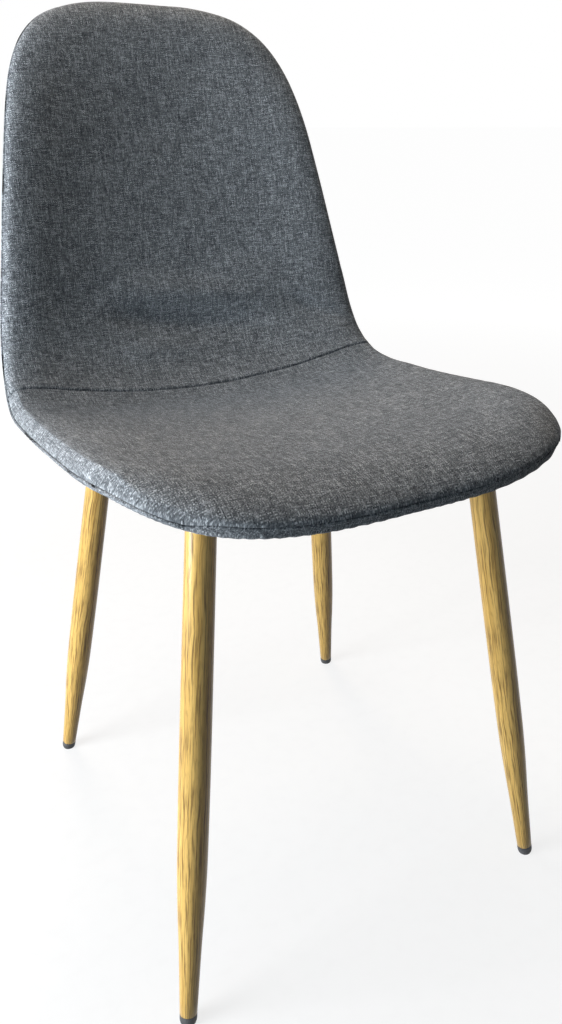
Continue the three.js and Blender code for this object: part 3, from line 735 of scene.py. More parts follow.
def settle(piece, pinned):
    """Lets a cover swell between its seams, by no more than the cap."""
    before = points_of(piece)
    outward = normals_of(piece)
    group = piece.vertex_groups.new(name="sewn")
    for i, sewn in enumerate(pinned):
        group.add([i], 1.0 if sewn else settle_hold, "REPLACE")
    only(piece)
    modifier = piece.modifiers.new("settle", "CLOTH")
    settings = modifier.settings
    settings.vertex_group_mass = group.name
    settings.quality = 6
    settings.mass = 0.25
    settings.tension_stiffness = 20
    settings.compression_stiffness = 12
    settings.shear_stiffness = 8
    settings.bending_stiffness = 0.6
    settings.use_pressure = True
    settings.uniform_pressure_force = settle_pressure
    settings.shrink_min = settle_slack
    settings.effector_weights.gravity = 0
    modifier.point_cache.frame_end = settle_frames
    for number in range(1, settle_frames + 1):
        scene.frame_set(number)
    bpy.ops.object.modifier_apply(modifier=modifier.name)
    scene.frame_set(1)
    rise = np.maximum(((points_of(piece) - before) * outward).sum(axis=1), 0)
    kept = settle_cap * np.tanh(rise / settle_cap)
    move_to(piece, before + outward * kept[:, None])
    piece.vertex_groups.clear()
    print(piece.name, "settled by", round(float(rise.max()) * 1000, 2), "mm, of which",
          round(float(kept.max()) * 1000, 2), "is kept, on average", round(float(kept.mean()) * 1000, 2))


def front_cover():
    tuck = [(inset, seam_depth + drop, 0.0) for inset, drop in tuck_steps]
    cut = cut_panel(roll_profile() + tuck, 0.0)
    piece = mesh_piece("front_cover", cut["points"], cut["quads"], cut["flat"])
    flat = cut["flat"]
    off_seam = np.abs(flat[:, 1] - seam_run_at(flat[:, 0]))
    pinned = (off_seam < pinned_beside_seam) | (cut["depth"] > front_seam_depth * pinned_depth_share)
    settle(piece, pinned)
    finish_modifier(piece, "SUBSURF", levels=1, render_levels=1)
    return piece


front = front_cover()
print("front cover has", len(front.data.polygons), "faces")

# %% [markdown]
# ## Folds of use
# Where the seat bends up into the back the cloth has slackened: a broad soft fold lies across the lower
# back, and short gathers cross the edge roll beside the bend. A simulation puts folds where it likes, so
# these are listed one by one: each is a ridge or a hollow with a place, a length and a width on the flat
# cut. Small uneven swells keep the rest from looking moulded.

# %% Uneven heights
noise_cells = 64


def value_noise(x, y, seed):
    """Smooth uneven heights from -1 to 1 over a unit grid, the same in each run."""
    table = np.random.default_rng(seed).uniform(-1, 1, (noise_cells, noise_cells))
    column, row = np.floor(x).astype(int), np.floor(y).astype(int)
    fx, fy = ease(x - column), ease(y - row)

    def at(dx, dy):
        return table[(row + dy) % noise_cells, (column + dx) % noise_cells]

    return ((at(0, 0) * (1 - fx) + at(1, 0) * fx) * (1 - fy)
            + (at(0, 1) * (1 - fx) + at(1, 1) * fx) * fy)


print("uneven heights come round again after", noise_cells, "cells")

# %% Shape the folds
# x, run, half length, half width, turn in degrees, height
folds = [
    (0.020, 0.529, 0.085, 0.0150, -6, 0.0058),
    (0.085, 0.547, 0.032, 0.0130, -14, 0.0024),
    (-0.005, 0.498, 0.085, 0.0125, -8, -0.0060),
    (0.158, 0.494, 0.036, 0.0100, -28, -0.0034),
    (-0.030, 0.466, 0.050, 0.0120, -3, 0.0036),
    (0.155, 0.458, 0.040, 0.0110, -8, 0.0020),
    (-0.120, 0.535, 0.040, 0.0180, 24, -0.0018),
    (-0.095, 0.447, 0.060, 0.0160, 5, -0.0010),
    (0.060, 0.440, 0.080, 0.0150, 3, -0.0008),
]
gather_wave = 0.0115
gather_height = 0.0007
gather_run = 0.468
gather_reach = 0.045
gather_x = 0.182
gather_width = 0.020
gather_slant = 0.10
gather_pivot_x = 0.18
swell_height = 0.0010
lip_height = 0.0006
lip_width = 0.0050
rim_calm_width = 0.003
groove_depth = 0.0034
groove_width = 0.0014


def fold_height(x, run):
    """All folds together: each is high along its middle and fades out beside it and past its ends."""
    height = np.zeros(len(x))
    for fold_x, fold_run, fold_length, fold_width, turn, rise in folds:
        angle = math.radians(turn)
        along = (x - fold_x) * math.cos(angle) + (run - fold_run) * math.sin(angle)
        beside = (run - fold_run) * math.cos(angle) - (x - fold_x) * math.sin(angle)
        height += rise * np.exp(-((along / fold_length) ** 4) - (beside / fold_width) ** 2)
    return height


def gather_of_edge(x, run):
    """Short waves across both edge rolls beside the bend."""
    side = np.exp(-(((np.abs(x) - gather_x) / gather_width) ** 2))
    zone = np.exp(-(((run - gather_run) / gather_reach) ** 2))
    slanted_run = run + gather_slant * (np.abs(x) - gather_pivot_x) * np.sign(x)
    wave = np.sin(2 * math.pi * slanted_run / gather_wave + 2.0 * value_noise(x * 20, run * 30, 5))
    uneven = 0.6 + 0.4 * value_noise(x * 30 + 7, run * 60, 8)
    return gather_height * side * zone * wave * uneven


def uneven_swell(x, run):
    """Low broad swells with smaller ones on them."""
    broad = value_noise(x * 14 + 3, run * 14, 21)
    close = value_noise(x * 38, run * 38 + 9, 22)
    return swell_height * (0.7 * broad + 0.3 * close)


def seam_shape(x, run):
    """Lips beside the cross seam and the groove between them."""
    off = np.abs(run - seam_run_at(x))
    lips = lip_height * np.exp(-(((off - lip_width) / lip_width) ** 2))
    return lips - groove_depth * np.exp(-((off / groove_width) ** 2))


print("the highest of", len(folds), "folds rises by", max(fold[-1] for fold in folds), "m")


# %% Fold the front cover
def shape_on_padding(piece):
    """Raises and sinks a piece along its normals by its folds, all but its tucked-in rim."""
    x, run = flat_of(piece).T
    swell = fold_height(x, run) + gather_of_edge(x, run) + uneven_swell(x, run) + seam_shape(x, run)
    inset = half_width(run) - np.abs(x)
    swell *= ease(inset / rim_calm_width)
    move_to(piece, points_of(piece) + normals_of(piece) * swell[:, None])
    lowest, highest = round(swell.min() * 1000, 2), round(swell.max() * 1000, 2)
    print(piece.name, "is folded from", lowest, "to", highest, "mm")


shape_on_padding(front)
map_from_flat(front)

# %% [markdown]
# ## Seat panel and back panel
# The front cover is two panels, sewn together along the cross seam. A painted dark line would do from afar,
# but it is flat up close. So the panels are parted on the row of faces that ends at the seam, and each gets
# its own thickness: the seam is a real slit between two turned-in edges.

# %% Open the slit and turn its edges in
slit_half = 0.0009
lip_turn_down = 0.0034


def seam_frame(run):
    """Directions along the run and into the padding at each place."""
    slope = slope_at(run)
    nothing = np.zeros(len(run))
    along = np.column_stack([nothing, np.cos(slope), np.sin(slope)])
    inward = np.column_stack([nothing, np.sin(slope), -np.cos(slope)])
    return along, inward


def open_slit(piece, flat, keep_seat):
    """Draws a panel's edge back from the cross seam."""
    points = points_of(piece)
    on_seam = np.abs(flat[:, 1] - seam_run_at(flat[:, 0])) < 1e-5
    along, _ = seam_frame(flat[:, 1])
    points[on_seam] += along[on_seam] * (-slit_half if keep_seat else slit_half)
    move_to(piece, points)
    return on_seam


def turn_down_lip(shell, on_seam, inward):
    """Extrudes the panel's edge along the seam and turns it into the padding."""
    edges = [e for e in shell.edges if e.is_boundary and all(on_seam[v.index] for v in e.verts)]
    way_in = {tuple(v.co): Vector(inward[v.index]) for e in edges for v in e.verts}
    made = bmesh.ops.extrude_edge_only(shell, edges=edges)["geom"]
    for part in made:
        if isinstance(part, bmesh.types.BMVert):
            part.co += way_in[tuple(part.co)] * lip_turn_down
    return len(edges)


print("the slit is", round(2000 * slit_half, 1), "mm wide")

# %% Part the panels and thicken them
fabric_thickness = 0.0012


def panel_from_front(name, keep_seat, stands_for):
    """Makes the seat's or the back's panel from its side of the front cover."""
    piece = front.copy()
    piece.data = front.data.copy()
    piece.name = name
    scene.collection.objects.link(piece)
    flat = flat_of(piece)
    on_seam = open_slit(piece, flat, keep_seat)
    _, inward = seam_frame(flat[:, 1])
    shell = bmesh.new()
    shell.from_mesh(piece.data)
    doomed = []
    for face in shell.faces:
        centre = np.mean([flat[vert.index] for vert in face.verts], axis=0)
        if (centre[1] < seam_run_at(centre[0])) != keep_seat:
            doomed.append(face)
    bmesh.ops.delete(shell, geom=doomed, context="FACES_ONLY")
    lip_edges = turn_down_lip(shell, on_seam, inward)
    bmesh.ops.delete(shell, geom=[v for v in shell.verts if not v.link_faces], context="VERTS")
    shell.to_mesh(piece.data)
    shell.free()
    finish_modifier(piece, "SOLIDIFY", thickness=fabric_thickness, offset=-1.0)
    dress(piece, cloth)
    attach(piece, body)
    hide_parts(stands_for)
    print(name, "has", len(piece.data.polygons), "faces,", lip_edges, "edges along the seam")


panel_from_front("seat_panel", True, "seat_cover")
panel_from_front("back_panel", False, "back_cover")
bpy.data.objects.remove(front)

# %% [markdown]
# ## The rear cover
# One piece of the same cloth covers the outside. It starts at the edge seam, makes a narrow band, turns
# round the lower edge and is hemmed under the seat, where it is stapled to the plywood. It is the same cut
# as the front cover, laid on the outside of the shell and turned over, so both meet at the edge seam. Pulled
# round the curved front it gathers a little, so its lower edge is never quite even.

# %% Cut and shape the rear cover
shell_thickness = 0.0236
lower_edge_radius = 0.006
band_gap = 0.0015
band_top = seam_depth + band_gap
pucker_wave = 0.0125
pucker_height = 0.0005
pucker_turn_radius = 0.22
pucker_start_share = 0.80
pucker_fade_share = 0.15
pucker_end_run = seat_run + 0.05
pucker_fade_run = 0.10
rear_swell_share = 0.6
band_spread = 0.007
tuck_spreads = [0.008, 0.010]
band_rings = 4
corner_rings = 5
rear_roll_rings = 5


def rear_rings():
    """Rings from the flat of the outside, round the lower edge and up the band to the edge seam."""
    flat_face = [(inset, shell_thickness, 0.0)
                 for inset in np.linspace(edge_roll_width, lower_edge_radius, rear_roll_rings + 1)[1:]]
    corner = []
    for turn in np.linspace(0, math.pi / 2, corner_rings + 1)[1:]:
        inset = lower_edge_radius * (1 - math.sin(turn))
        depth = shell_thickness - lower_edge_radius * (1 - math.cos(turn))
        corner.append((inset, depth, 0.0))
    wall_base = shell_thickness - lower_edge_radius
    band = [(0.0, wall_base + (band_top - wall_base) * share, band_spread * share)
            for share in np.linspace(0, 1, band_rings + 1)[1:]]
    tuck = [(inset, band_top - drop, spread) for (inset, drop), spread in zip(tuck_steps, tuck_spreads)]
    return flat_face + corner + band + tuck


def pucker_of_rim(x, run):
    """Small gathers round the rim of the seat, which fade out toward the middle and the back."""
    spine = np.clip(run, front_round_run, whole_run - top_round_run)
    around = np.arctan2(x, run - spine + 1e-9) * pucker_turn_radius + run
    reach_share = np.hypot(x, run - spine) / np.maximum(half_width(run), 0.05)
    near_edge = ease((reach_share - pucker_start_share) / pucker_fade_share)
    under_seat = ease((pucker_end_run - run) / pucker_fade_run)
    wave = np.sin(2 * math.pi * around / pucker_wave + 2.5 * value_noise(x * 18, run * 18, 31))
    uneven = 0.55 + 0.45 * value_noise(x * 25, run * 25, 32)
    return pucker_height * near_edge * under_seat * wave * uneven


def rear_cover():
    cut = cut_panel(rear_rings(), shell_thickness, turned_over=True)
    piece = mesh_piece("rear_cloth", cut["points"], cut["quads"], cut["flat"])
    finish_modifier(piece, "SUBSURF", levels=1, render_levels=1)
    x, run = flat_of(piece).T
    swell = pucker_of_rim(x, run) + uneven_swell(x, run) * rear_swell_share
    move_to(piece, points_of(piece) + normals_of(piece) * swell[:, None])
    map_from_flat(piece)
    return piece


rear = rear_cover()
print("rear cover has", len(rear.data.polygons), "faces before its hem is opened")

# %% Open the hem and thicken the rear cover
hem_width = 0.045
hem_round_power = 3.2
hem_half_width = seat_width / 2 - hem_width
hem_half_run = (seat_run - hem_width) / 2
hem_middle_run = (seat_run + hem_width) / 2


def rounded_reach(across, forward):
    """How far out a place is in a square with rounded corners, whose border is at 1."""
    return (np.abs(across) ** hem_round_power + np.abs(forward) ** hem_round_power) ** (1 / hem_round_power)


def open_hem(piece):
    """Takes the cloth out of the hem's opening. The dust cover will lie over the cut edge."""
    x, run = flat_of(piece).T
    inside = rounded_reach(x / hem_half_width, (run - hem_middle_run) / hem_half_run) < 1
    opening = inside & (run < seat_run)
    shell = bmesh.new()
    shell.from_mesh(piece.data)
    doomed = [face for face in shell.faces if all(opening[vert.index] for vert in face.verts)]
    bmesh.ops.delete(shell, geom=doomed, context="FACES")
    shell.to_mesh(piece.data)
    shell.free()
    print("hem opened by", len(doomed), "faces")


open_hem(rear)
finish_modifier(rear, "SOLIDIFY", thickness=fabric_thickness, offset=-1.0)
dress(rear, cloth)
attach(rear, body)
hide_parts("rear_cover")
print("rear cover has", len(rear.data.polygons), "faces")

# %% [markdown]
# ## Foam and felt under the covers
# The foam and the felt are never seen, but the covers lie on them. The frame's plain pads would poke through
# the folded cloth, so both are made again in the covers' own form, and the foam has the folds and the seam
# groove too. Each is two sheets of the same cut, one facing the sitter and one turned over, joined round
# their rims into a closed pad.


# %% Close two sheets into a pad
def closed_pad(name, upper, upper_points, lower, node):
    """A closed pad from an upper and a lower sheet with the same places round their rims."""
    count = len(upper_points)
    upper_rim, lower_rim = upper["rim"], lower["rim"] + count
    wall = np.stack([upper_rim, lower_rim, np.roll(lower_rim, -1), np.roll(upper_rim, -1)], -1)
    points = np.concatenate([upper_points, lower["points"]])
    piece = mesh_piece(name, points, np.concatenate([upper["quads"], lower["quads"] + count, wall]))
    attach(piece, body)
    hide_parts(node)
    print(name, "has", len(piece.data.polygons), "faces")
    return piece


print("pads can be closed")

# %% Make the foam
foam_base = 0.0105
foam_top = 0.0026
foam_gap = 0.0006
foam_floor = foam_base - foam_gap
foam_wall = 0.0008
foam_seam_relief = 0.0040
pad_middle_inset = 0.024


def foam_rings():
    """The roll's rings under the cover, cut off where they reach the foam's floor."""
    rings = roll_profile(foam_top)
    insets = np.stack([inset for inset, _, _ in rings])
    depths = np.stack([depth for _, depth, _ in rings])
    limit = foam_floor - foam_wall
    edge_inset = np.array([np.interp(limit, depths[:, k], insets[:, k]) for k in range(loop_count)])
    insets = np.maximum(insets, edge_inset)
    depths = np.minimum(depths, limit)
    return [(inset, depth, 0.0) for inset, depth in zip(insets, depths)]


def foam_pad():
    rings = foam_rings()
    floor_rings = [(pad_middle_inset, foam_floor, 0.0), (rings[-1][0], foam_floor, 0.0)]
    upper = cut_panel(rings, foam_top)
    lower = cut_panel(floor_rings, foam_floor, turned_over=True)
    face = mesh_piece("foam_face", upper["points"], upper["quads"], upper["flat"])
    shape_on_padding(face)
    off_seam = np.abs(upper["flat"][:, 1] - seam_run_at(upper["flat"][:, 0]))
    relief = foam_seam_relief * np.exp(-((off_seam / lip_width) ** 2))
    shaped = points_of(face) - normals_of(face) * relief[:, None]
    bpy.data.objects.remove(face)
    return closed_pad("foam_filling", upper, shaped, lower, "foam_pad")


foam_piece = foam_pad()

# %% Make the felt
felt_top = 0.0201
felt_base = 0.0221
felt_edge_inset = 0.0015
felt_wall_inset = 0.0047
felt_rim_gap = 0.0027
felt_rim = seam_depth + felt_rim_gap


def felt_wrap():
    radius = lower_edge_radius - felt_edge_inset
    outside = [(pad_middle_inset, felt_base, 0.0)]
    for turn in np.linspace(0, math.pi / 2, 5):
        depth = np.maximum(felt_base - radius * (1 - math.cos(turn)), felt_rim)
        outside.append((felt_edge_inset + radius * (1 - math.sin(turn)), depth, 0.0))
    outside.append((felt_edge_inset, felt_rim, 0.0))
    inside = [
        (pad_middle_inset, felt_top, 0.0),
        (felt_wall_inset, felt_top, 0.0),
        (felt_wall_inset, felt_rim, 0.0),
    ]
    lower = cut_panel(outside, felt_base, turned_over=True)
    upper = cut_panel(inside, felt_top)
    return closed_pad("felt_wrap", upper, upper["points"], lower, "rear_wadding")


felt_piece = felt_wrap()

# %% [markdown]
# ## The dust cover
# Black bonded cloth closes the opening in the hem under the seat. It is cut a little larger than the
# opening, laid over the hem and stapled to the plywood all round. Between the staples its edge draws in, and
# under the middle it hangs a little, but where the frame's pads press on it, it stays flat. So small a sag
# needs no simulation: a square grid is drawn out to the opening's rounded shape and lowered by sums.


# %% Places on the hem and gaps to the bolts
def hem_place(across, forward, margin):
    """A place on the flat cut from a place in a square, whose border goes to the opening's border."""
    reach = np.maximum(np.abs(across), np.abs(forward)) / np.maximum(rounded_reach(across, forward), 1e-9)
    x = across * reach * (hem_half_width + margin)
    run = hem_middle_run + forward * reach * (hem_half_run + margin)
    return x, run


def gap_to_bolt(points):
    """How far each point is from the axis of the nearest seat bolt."""
    gaps = []
    for corner in corner_names:
        low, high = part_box("seat_bolt_" + corner)
        x, y = np.mean([low[:2], high[:2]], axis=0)
        gaps.append(np.hypot(points[:, 0] - x, points[:, 1] - y))
    return np.min(gaps, axis=0)


hem_middle = shell_points([0], [hem_middle_run], [shell_thickness])
print("the hem's middle is", round(gap_to_bolt(hem_middle)[0], 3), "m from the nearest seat bolt")

# %% Make the dust cover
dust_top = 0.0239
dust_thickness = 0.0006
dust_overlap = 0.012
dust_cells = 72
dust_draw = 0.0009
dust_hang = 0.0012
dust_ripple = 0.00025
# shares of the way from the middle to the edge
dust_draw_start = 0.85
dust_draw_zone = 0.15
dust_hang_zone = 0.4
dust_ripple_start = 0.75
dust_ripple_zone = 0.2
pad_radius = 0.013
pad_calm_width = 0.03
bolt_clearance = 0.0085
staple_count = 46


def dust_cover():
    """The dust cover's piece, and the area of its cloth before the holes for the bolts are cut."""
    steps = np.linspace(-1, 1, dust_cells + 1)
    forward, across = [grid.ravel() for grid in np.meshgrid(steps, steps, indexing="ij")]
    edge = np.maximum(np.abs(across), np.abs(forward))
    around = np.arctan2(across, forward) * staple_count / (2 * math.pi)
    draw = dust_draw * np.sin(math.pi * around) ** 2 * ease((edge - dust_draw_start) / dust_draw_zone)
    x, run = hem_place(across, forward, dust_overlap - draw)
    points = shell_points(x, run, dust_top)
    calm = ease((gap_to_bolt(points) - pad_radius) / pad_calm_width) * ease((1 - edge) / dust_hang_zone)
    hang = dust_hang * calm * (0.7 + 0.3 * value_noise(x * 30, run * 30, 41))
    ripple_zone = ease((edge - dust_ripple_start) / dust_ripple_zone)
    ripple = dust_ripple * np.sin(math.pi * around) ** 2 * ripple_zone
    points = shell_points(x, run, dust_top + hang + ripple)
    grid = np.arange((dust_cells + 1) ** 2).reshape(dust_cells + 1, -1)
    faces = np.stack([grid[:-1, :-1], grid[1:, :-1], grid[1:, 1:], grid[:-1, 1:]], -1).reshape(-1, 4)
    first_diagonal = points[faces[:, 2]] - points[faces[:, 0]]
    second_diagonal = points[faces[:, 3]] - points[faces[:, 1]]
    whole_area = 0.5 * np.linalg.norm(np.cross(first_diagonal, second_diagonal), axis=1).sum()
    faces = faces[gap_to_bolt(points[faces].mean(axis=1)) > bolt_clearance]
    piece = mesh_piece("dust_sheet", points, faces)
    finish_modifier(piece, "SOLIDIFY", thickness=dust_thickness, offset=1.0)
    return piece, float(whole_area)


dust_sheet, dust_area = dust_cover()
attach(dust_sheet, body)
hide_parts("dust_cover")

# %% [markdown]
# ## The staples
# Each staple is driven into the plywood, so only the flat wire of its crown shows, pressed into the dust
# cloth. They are shot by hand: none sits exactly in its place or quite straight. One crown is modelled and
# copied round the opening, and small chances, the same in each run, move and turn each copy.

# %% Shape one staple
staple_length = 0.0100
staple_width = 0.0012
staple_wire = 0.0006
staple_edge = 0.00022


def staple_crown():
    """The crown of one staple: a short flat wire with eased edges."""
    bpy.ops.object.select_all(action="DESELECT")
    bpy.ops.mesh.primitive_cube_add(size=1.0)
    crown = bpy.context.object
    crown.name = "staple"
    bpy.ops.object.mode_set(mode="EDIT")
    bpy.ops.mesh.select_all(action="SELECT")
    bpy.ops.transform.resize(value=(staple_length, staple_width, staple_wire))
    bpy.ops.object.mode_set(mode="OBJECT")
    finish_modifier(crown, "BEVEL", width=staple_edge, segments=2, limit_method="ANGLE",
                    angle_limit=math.radians(40))
    return crown


print("a staple's crown is", staple_length, "by", staple_width, "m")

# %% Staple the dust cover
staple_margin = 0.0065
# how far the middle of the wire stands off the cloth, as a share of the wire
staple_stand_share = 0.4
staple_stray = 0.12
border_step = 0.01


def staple_place(turn, askew):
    """Where a staple at this turn round the opening lies: along the border, but a little askew."""
    ways = turn + np.array([-border_step, 0, border_step])
    across, forward = np.sin(ways), np.cos(ways)
    square = np.maximum(np.abs(across), np.abs(forward))
    x, run = hem_place(across / square, forward / square, staple_margin)
    before, here, after = [Vector(point) for point in shell_points(x, run, dust_top + dust_thickness)]
    _, inward = seam_frame(run[1:2])
    down = Vector(inward[0]).normalized()
    along = (after - before).normalized()
    along = (along + down.cross(along).normalized() * askew).normalized()
    beside = down.cross(along).normalized()
    down = along.cross(beside)
    turned = Matrix((along, beside, down)).transposed().to_4x4()
    return Matrix.Translation(here + down * staple_stand_share * staple_wire) @ turned


def staple_row():
    uneven = np.random.default_rng(7)
    crown = staple_crown()
    copies = []
    for number in range(staple_count):
        place = number + 0.5 + uneven.uniform(-staple_stray, staple_stray)
        askew = float(uneven.uniform(-staple_stray, staple_stray))
        copy = crown.copy()
        copy.data = crown.data.copy()
        copy.data.transform(staple_place(2 * math.pi * place / staple_count, askew))
        scene.collection.objects.link(copy)
        copies.append(copy)
    bpy.data.objects.remove(crown)
    only(copies[0])
    for copy in copies:
        copy.select_set(True)
    bpy.ops.object.join()
    piece = copies[0]
    piece.name = "staples"
    bpy.ops.object.shade_smooth_by_angle(angle=math.radians(50))
    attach(piece, body)
    return piece


staples = staple_row()
print(staple_count, "staples have", len(staples.data.polygons), "faces")

# %% [markdown]
# ## Turned pieces
# Legs and glides are round, with a profile that changes along them. A stretched cylinder has no such
# profile. So each starts as a circle that is extruded and scaled from one height of its profile to the
# next, as a turner works along a blank, and is then closed or joined end to end.


# %% Turn a piece from its profile
def turned(name, profile, sides, joined=False):
    """A round piece about Z from pairs of radius and height. Joined, its last ring meets its first."""
    bpy.ops.object.select_all(action="DESELECT")
    radius, height = profile[0]
    bpy.ops.mesh.primitive_circle_add(vertices=sides, radius=radius, location=(0, 0, height))
    piece = bpy.context.object
    piece.name = name
    bpy.ops.object.transform_apply(location=True, rotation=True, scale=True)
    bpy.ops.object.mode_set(mode="EDIT")
    bpy.ops.mesh.select_mode(type="EDGE")
    bpy.ops.mesh.select_all(action="SELECT")
    for next_radius, next_height in profile[1:]:
        rise = (0, 0, next_height - height)
        bpy.ops.mesh.extrude_region_move(TRANSFORM_OT_translate={"value": rise})
        share = next_radius / radius
        bpy.ops.transform.resize(value=(share, share, 1), center_override=(0, 0, next_height))
        radius, height = next_radius, next_height
    bpy.ops.mesh.select_all(action="DESELECT")
    bpy.ops.mesh.select_non_manifold()
    if joined:
        bpy.ops.mesh.bridge_edge_loops()
    else:
        bpy.ops.mesh.edge_face_add()
    bpy.ops.mesh.select_all(action="SELECT")
    bpy.ops.mesh.normals_make_consistent(inside=False)
    bpy.ops.object.mode_set(mode="OBJECT")
    return piece


print("pieces can be turned")


# %% Close a turned piece and set it down
def close_ends(piece):
    """Fills each open ring of a turned piece with a face."""
    shell = bmesh.new()
    shell.from_mesh(piece.data)
    edges = [edge for edge in shell.edges if edge.is_boundary]
    bmesh.ops.holes_fill(shell, edges=edges, sides=0)
    bmesh.ops.recalc_face_normals(shell, faces=shell.faces)
    shell.to_mesh(piece.data)
    shell.free()


def frame_up(foot, top):
    """A place at the foot whose Z runs to the top."""
    up = (top - foot).normalized()
    side = Vector((0, 1, 0)).cross(up).normalized()
    front_way = up.cross(side)
    return Matrix.Translation(foot) @ Matrix((side, front_way, up)).transposed().to_4x4()


def set_down(piece, place):
    """Moves a piece's mesh to its place and leaves its object at the origin."""
    piece.data.transform(place)
    piece.data.update()


def node_points(name):
    """The corners of a piece of the frame, each of them once."""
    mesh = nodes[name].data
    found = np.zeros(len(mesh.vertices) * 3)
    mesh.vertices.foreach_get("co", found)
    return np.unique(found.reshape(-1, 3).round(6), axis=0)


def node_middle(name):
    return Vector(node_points(name).mean(axis=0))


print("the front left leg's plug is", round(node_middle("leg_plug_front_left").z, 3), "m above the floor")

# %% [markdown]
# ## The legs
# A leg is a steel tube that tapers to the foot, wrapped in a glossy printed oak film. It is turned upright,
# where its profile is easy to write down, and then set down in its place: its axis runs from the foot's
# place on the floor through the middle of the plug inside its top. The slanted top is cut off by a plane
# where the frame's own leg ends, flat against the underside of its arm.

# %% A leg's place, its map and its slanted top
leg_diameter = 0.0264


def leg_place(corner):
    return frame_up(mounts["foot_" + corner], node_middle("leg_plug_" + corner))


def wrap_map(piece):
    """A map of the leg's film: metres round the tube and metres along it."""
    layer = piece.data.uv_layers.new(name="wrap")
    for polygon in piece.data.polygons:
        angles = []
        for index in polygon.loop_indices:
            point = piece.data.vertices[piece.data.loops[index].vertex_index].co
            angles.append(math.atan2(point.y, point.x))
        crosses = max(angles) - min(angles) > math.pi
        for index, angle in zip(polygon.loop_indices, angles):
            if crosses and angle < 0:
                angle += 2 * math.pi
            point = piece.data.vertices[piece.data.loops[index].vertex_index].co
            layer.data[index].uv = (angle * leg_diameter / 2, point.z)


def slanted_top(corner, place):
    """The plane of a leg's top as slopes along x and y and a height, read from the frame's own leg."""
    upright = place.inverted()
    own = np.array([upright @ Vector(point) for point in node_points("leg_" + corner)])
    top_points = own[own[:, 2] > own[:, 2].max() - 2 * leg_diameter]
    terms = np.column_stack([top_points[:, :2], np.ones(len(top_points))])
    return np.linalg.lstsq(terms, top_points[:, 2], rcond=None)[0]


front_left_top = slanted_top("front_left", leg_place("front_left"))
print("the front left leg's axis leaves its top", round(front_left_top[2], 4), "m from the floor")

# %% Shape the legs
leg_wall = 0.0012
glide_height = 0.009
leg_girth_shares = [(0, 0.57), (0.15, 0.75), (0.23, 0.88), (0.33, 0.97), (0.52, 1), (0.78, 0.98), (1, 0.95)]
leg_sides = 48
leg_steps = 36
leg_overlength = 1.03
leg_rim_bevel = 0.0004


def leg(corner):
    place = leg_place(corner)
    slope_x, slope_y, length = slanted_top(corner, place)
    girth = smooth_curve(leg_girth_shares)
    outside = []
    for share in np.linspace(0, leg_overlength, leg_steps):
        radius = leg_diameter / 2 * girth(share)
        height = glide_height + (length - glide_height) * share
        outside.append((float(radius), float(height)))
    inside = [(radius - leg_wall, height) for radius, height in outside[::-1]]
    piece = turned("leg_film_" + corner, outside + inside, leg_sides, joined=True)
    bpy.ops.object.mode_set(mode="EDIT")
    bpy.ops.mesh.select_all(action="SELECT")
    bpy.ops.mesh.bisect(plane_co=(0, 0, length), plane_no=(-slope_x, -slope_y, 1), clear_outer=True)
    bpy.ops.mesh.bridge_edge_loops()
    bpy.ops.mesh.select_all(action="SELECT")
    bpy.ops.mesh.normals_make_consistent(inside=False)
    bpy.ops.object.mode_set(mode="OBJECT")
    wrap_map(piece)
    finish_modifier(piece, "BEVEL", width=leg_rim_bevel, segments=2, limit_method="ANGLE",
                    angle_limit=math.radians(40))
    only(piece)
    bpy.ops.object.shade_smooth_by_angle(angle=math.radians(35))
    set_down(piece, place)
    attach(piece, body)
    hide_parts("leg_" + corner)
    print(piece.name, "is", round(length, 4), "m long")
    return piece


legs = [leg(corner) for corner in corner_names]

# %% [markdown]
# ## The foot glides
# A dark plastic cap is pressed into the foot of each leg. It is as wide as the end of the tapered tube,
# rounds in to the floor, and is worn flat where it stands. It is turned like the leg. The leg leans and the
# floor is level, so a sole turned with the cap would stand on one edge, and it is cut by the floor itself.

# %% Shape the glides
foot_radius = leg_diameter / 2 * leg_girth_shares[0][1]
glide_sole = 0.0015
glide_gap = 0.0003
glide_stem_length = 0.022
glide_flange = 0.0008
glide_flat_share = 0.55
glide_round_height = 0.0065
glide_top_share = 0.985


def glide(corner):
    stem = foot_radius - leg_wall - glide_gap
    rounding = []
    for turn in np.linspace(0, math.pi / 2, 9):
        radius = foot_radius * (glide_flat_share + (1 - glide_flat_share) * math.sin(turn))
        rounding.append((radius, glide_round_height * (1 - math.cos(turn)) - glide_sole))
    profile = rounding + [
        (foot_radius, glide_height - glide_gap - glide_flange),
        (foot_radius * glide_top_share, glide_height - glide_gap),
        (stem, glide_height - glide_gap),
        (stem, glide_height + glide_stem_length),
    ]
    piece = turned("glide_" + corner, profile, leg_sides)
    place = leg_place(corner)
    set_down(piece, place)
    only(piece)
    bpy.ops.object.mode_set(mode="EDIT")
    bpy.ops.mesh.select_all(action="SELECT")
    bpy.ops.mesh.bisect(plane_co=(0, 0, 0), plane_no=(0, 0, 1), use_fill=True, clear_inner=True)
    bpy.ops.object.mode_set(mode="OBJECT")
    close_ends(piece)
    only(piece)
    bpy.ops.object.shade_smooth_by_angle(angle=math.radians(40))
    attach(piece, body)
    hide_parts("foot_glide_" + corner)
    return piece


glides = [glide(corner) for corner in corner_names]
soles = [points_of(piece)[:, 2].min() for piece in glides]
print("glides reach down to", round(min(soles) * 1000, 2), "mm, where the floor is at 0")

# %% [markdown]
# ## Oak film
# The film is printed, so its grain is colour and hardly any relief: long pale and brown bands, dark streaks
# that wander, and short dark pores. All three are noise stretched along the leg, and it reads the leg's own
# map, so the grain follows the slant of each leg. A clear coat gives the film the sharp streak of light down
# its side.

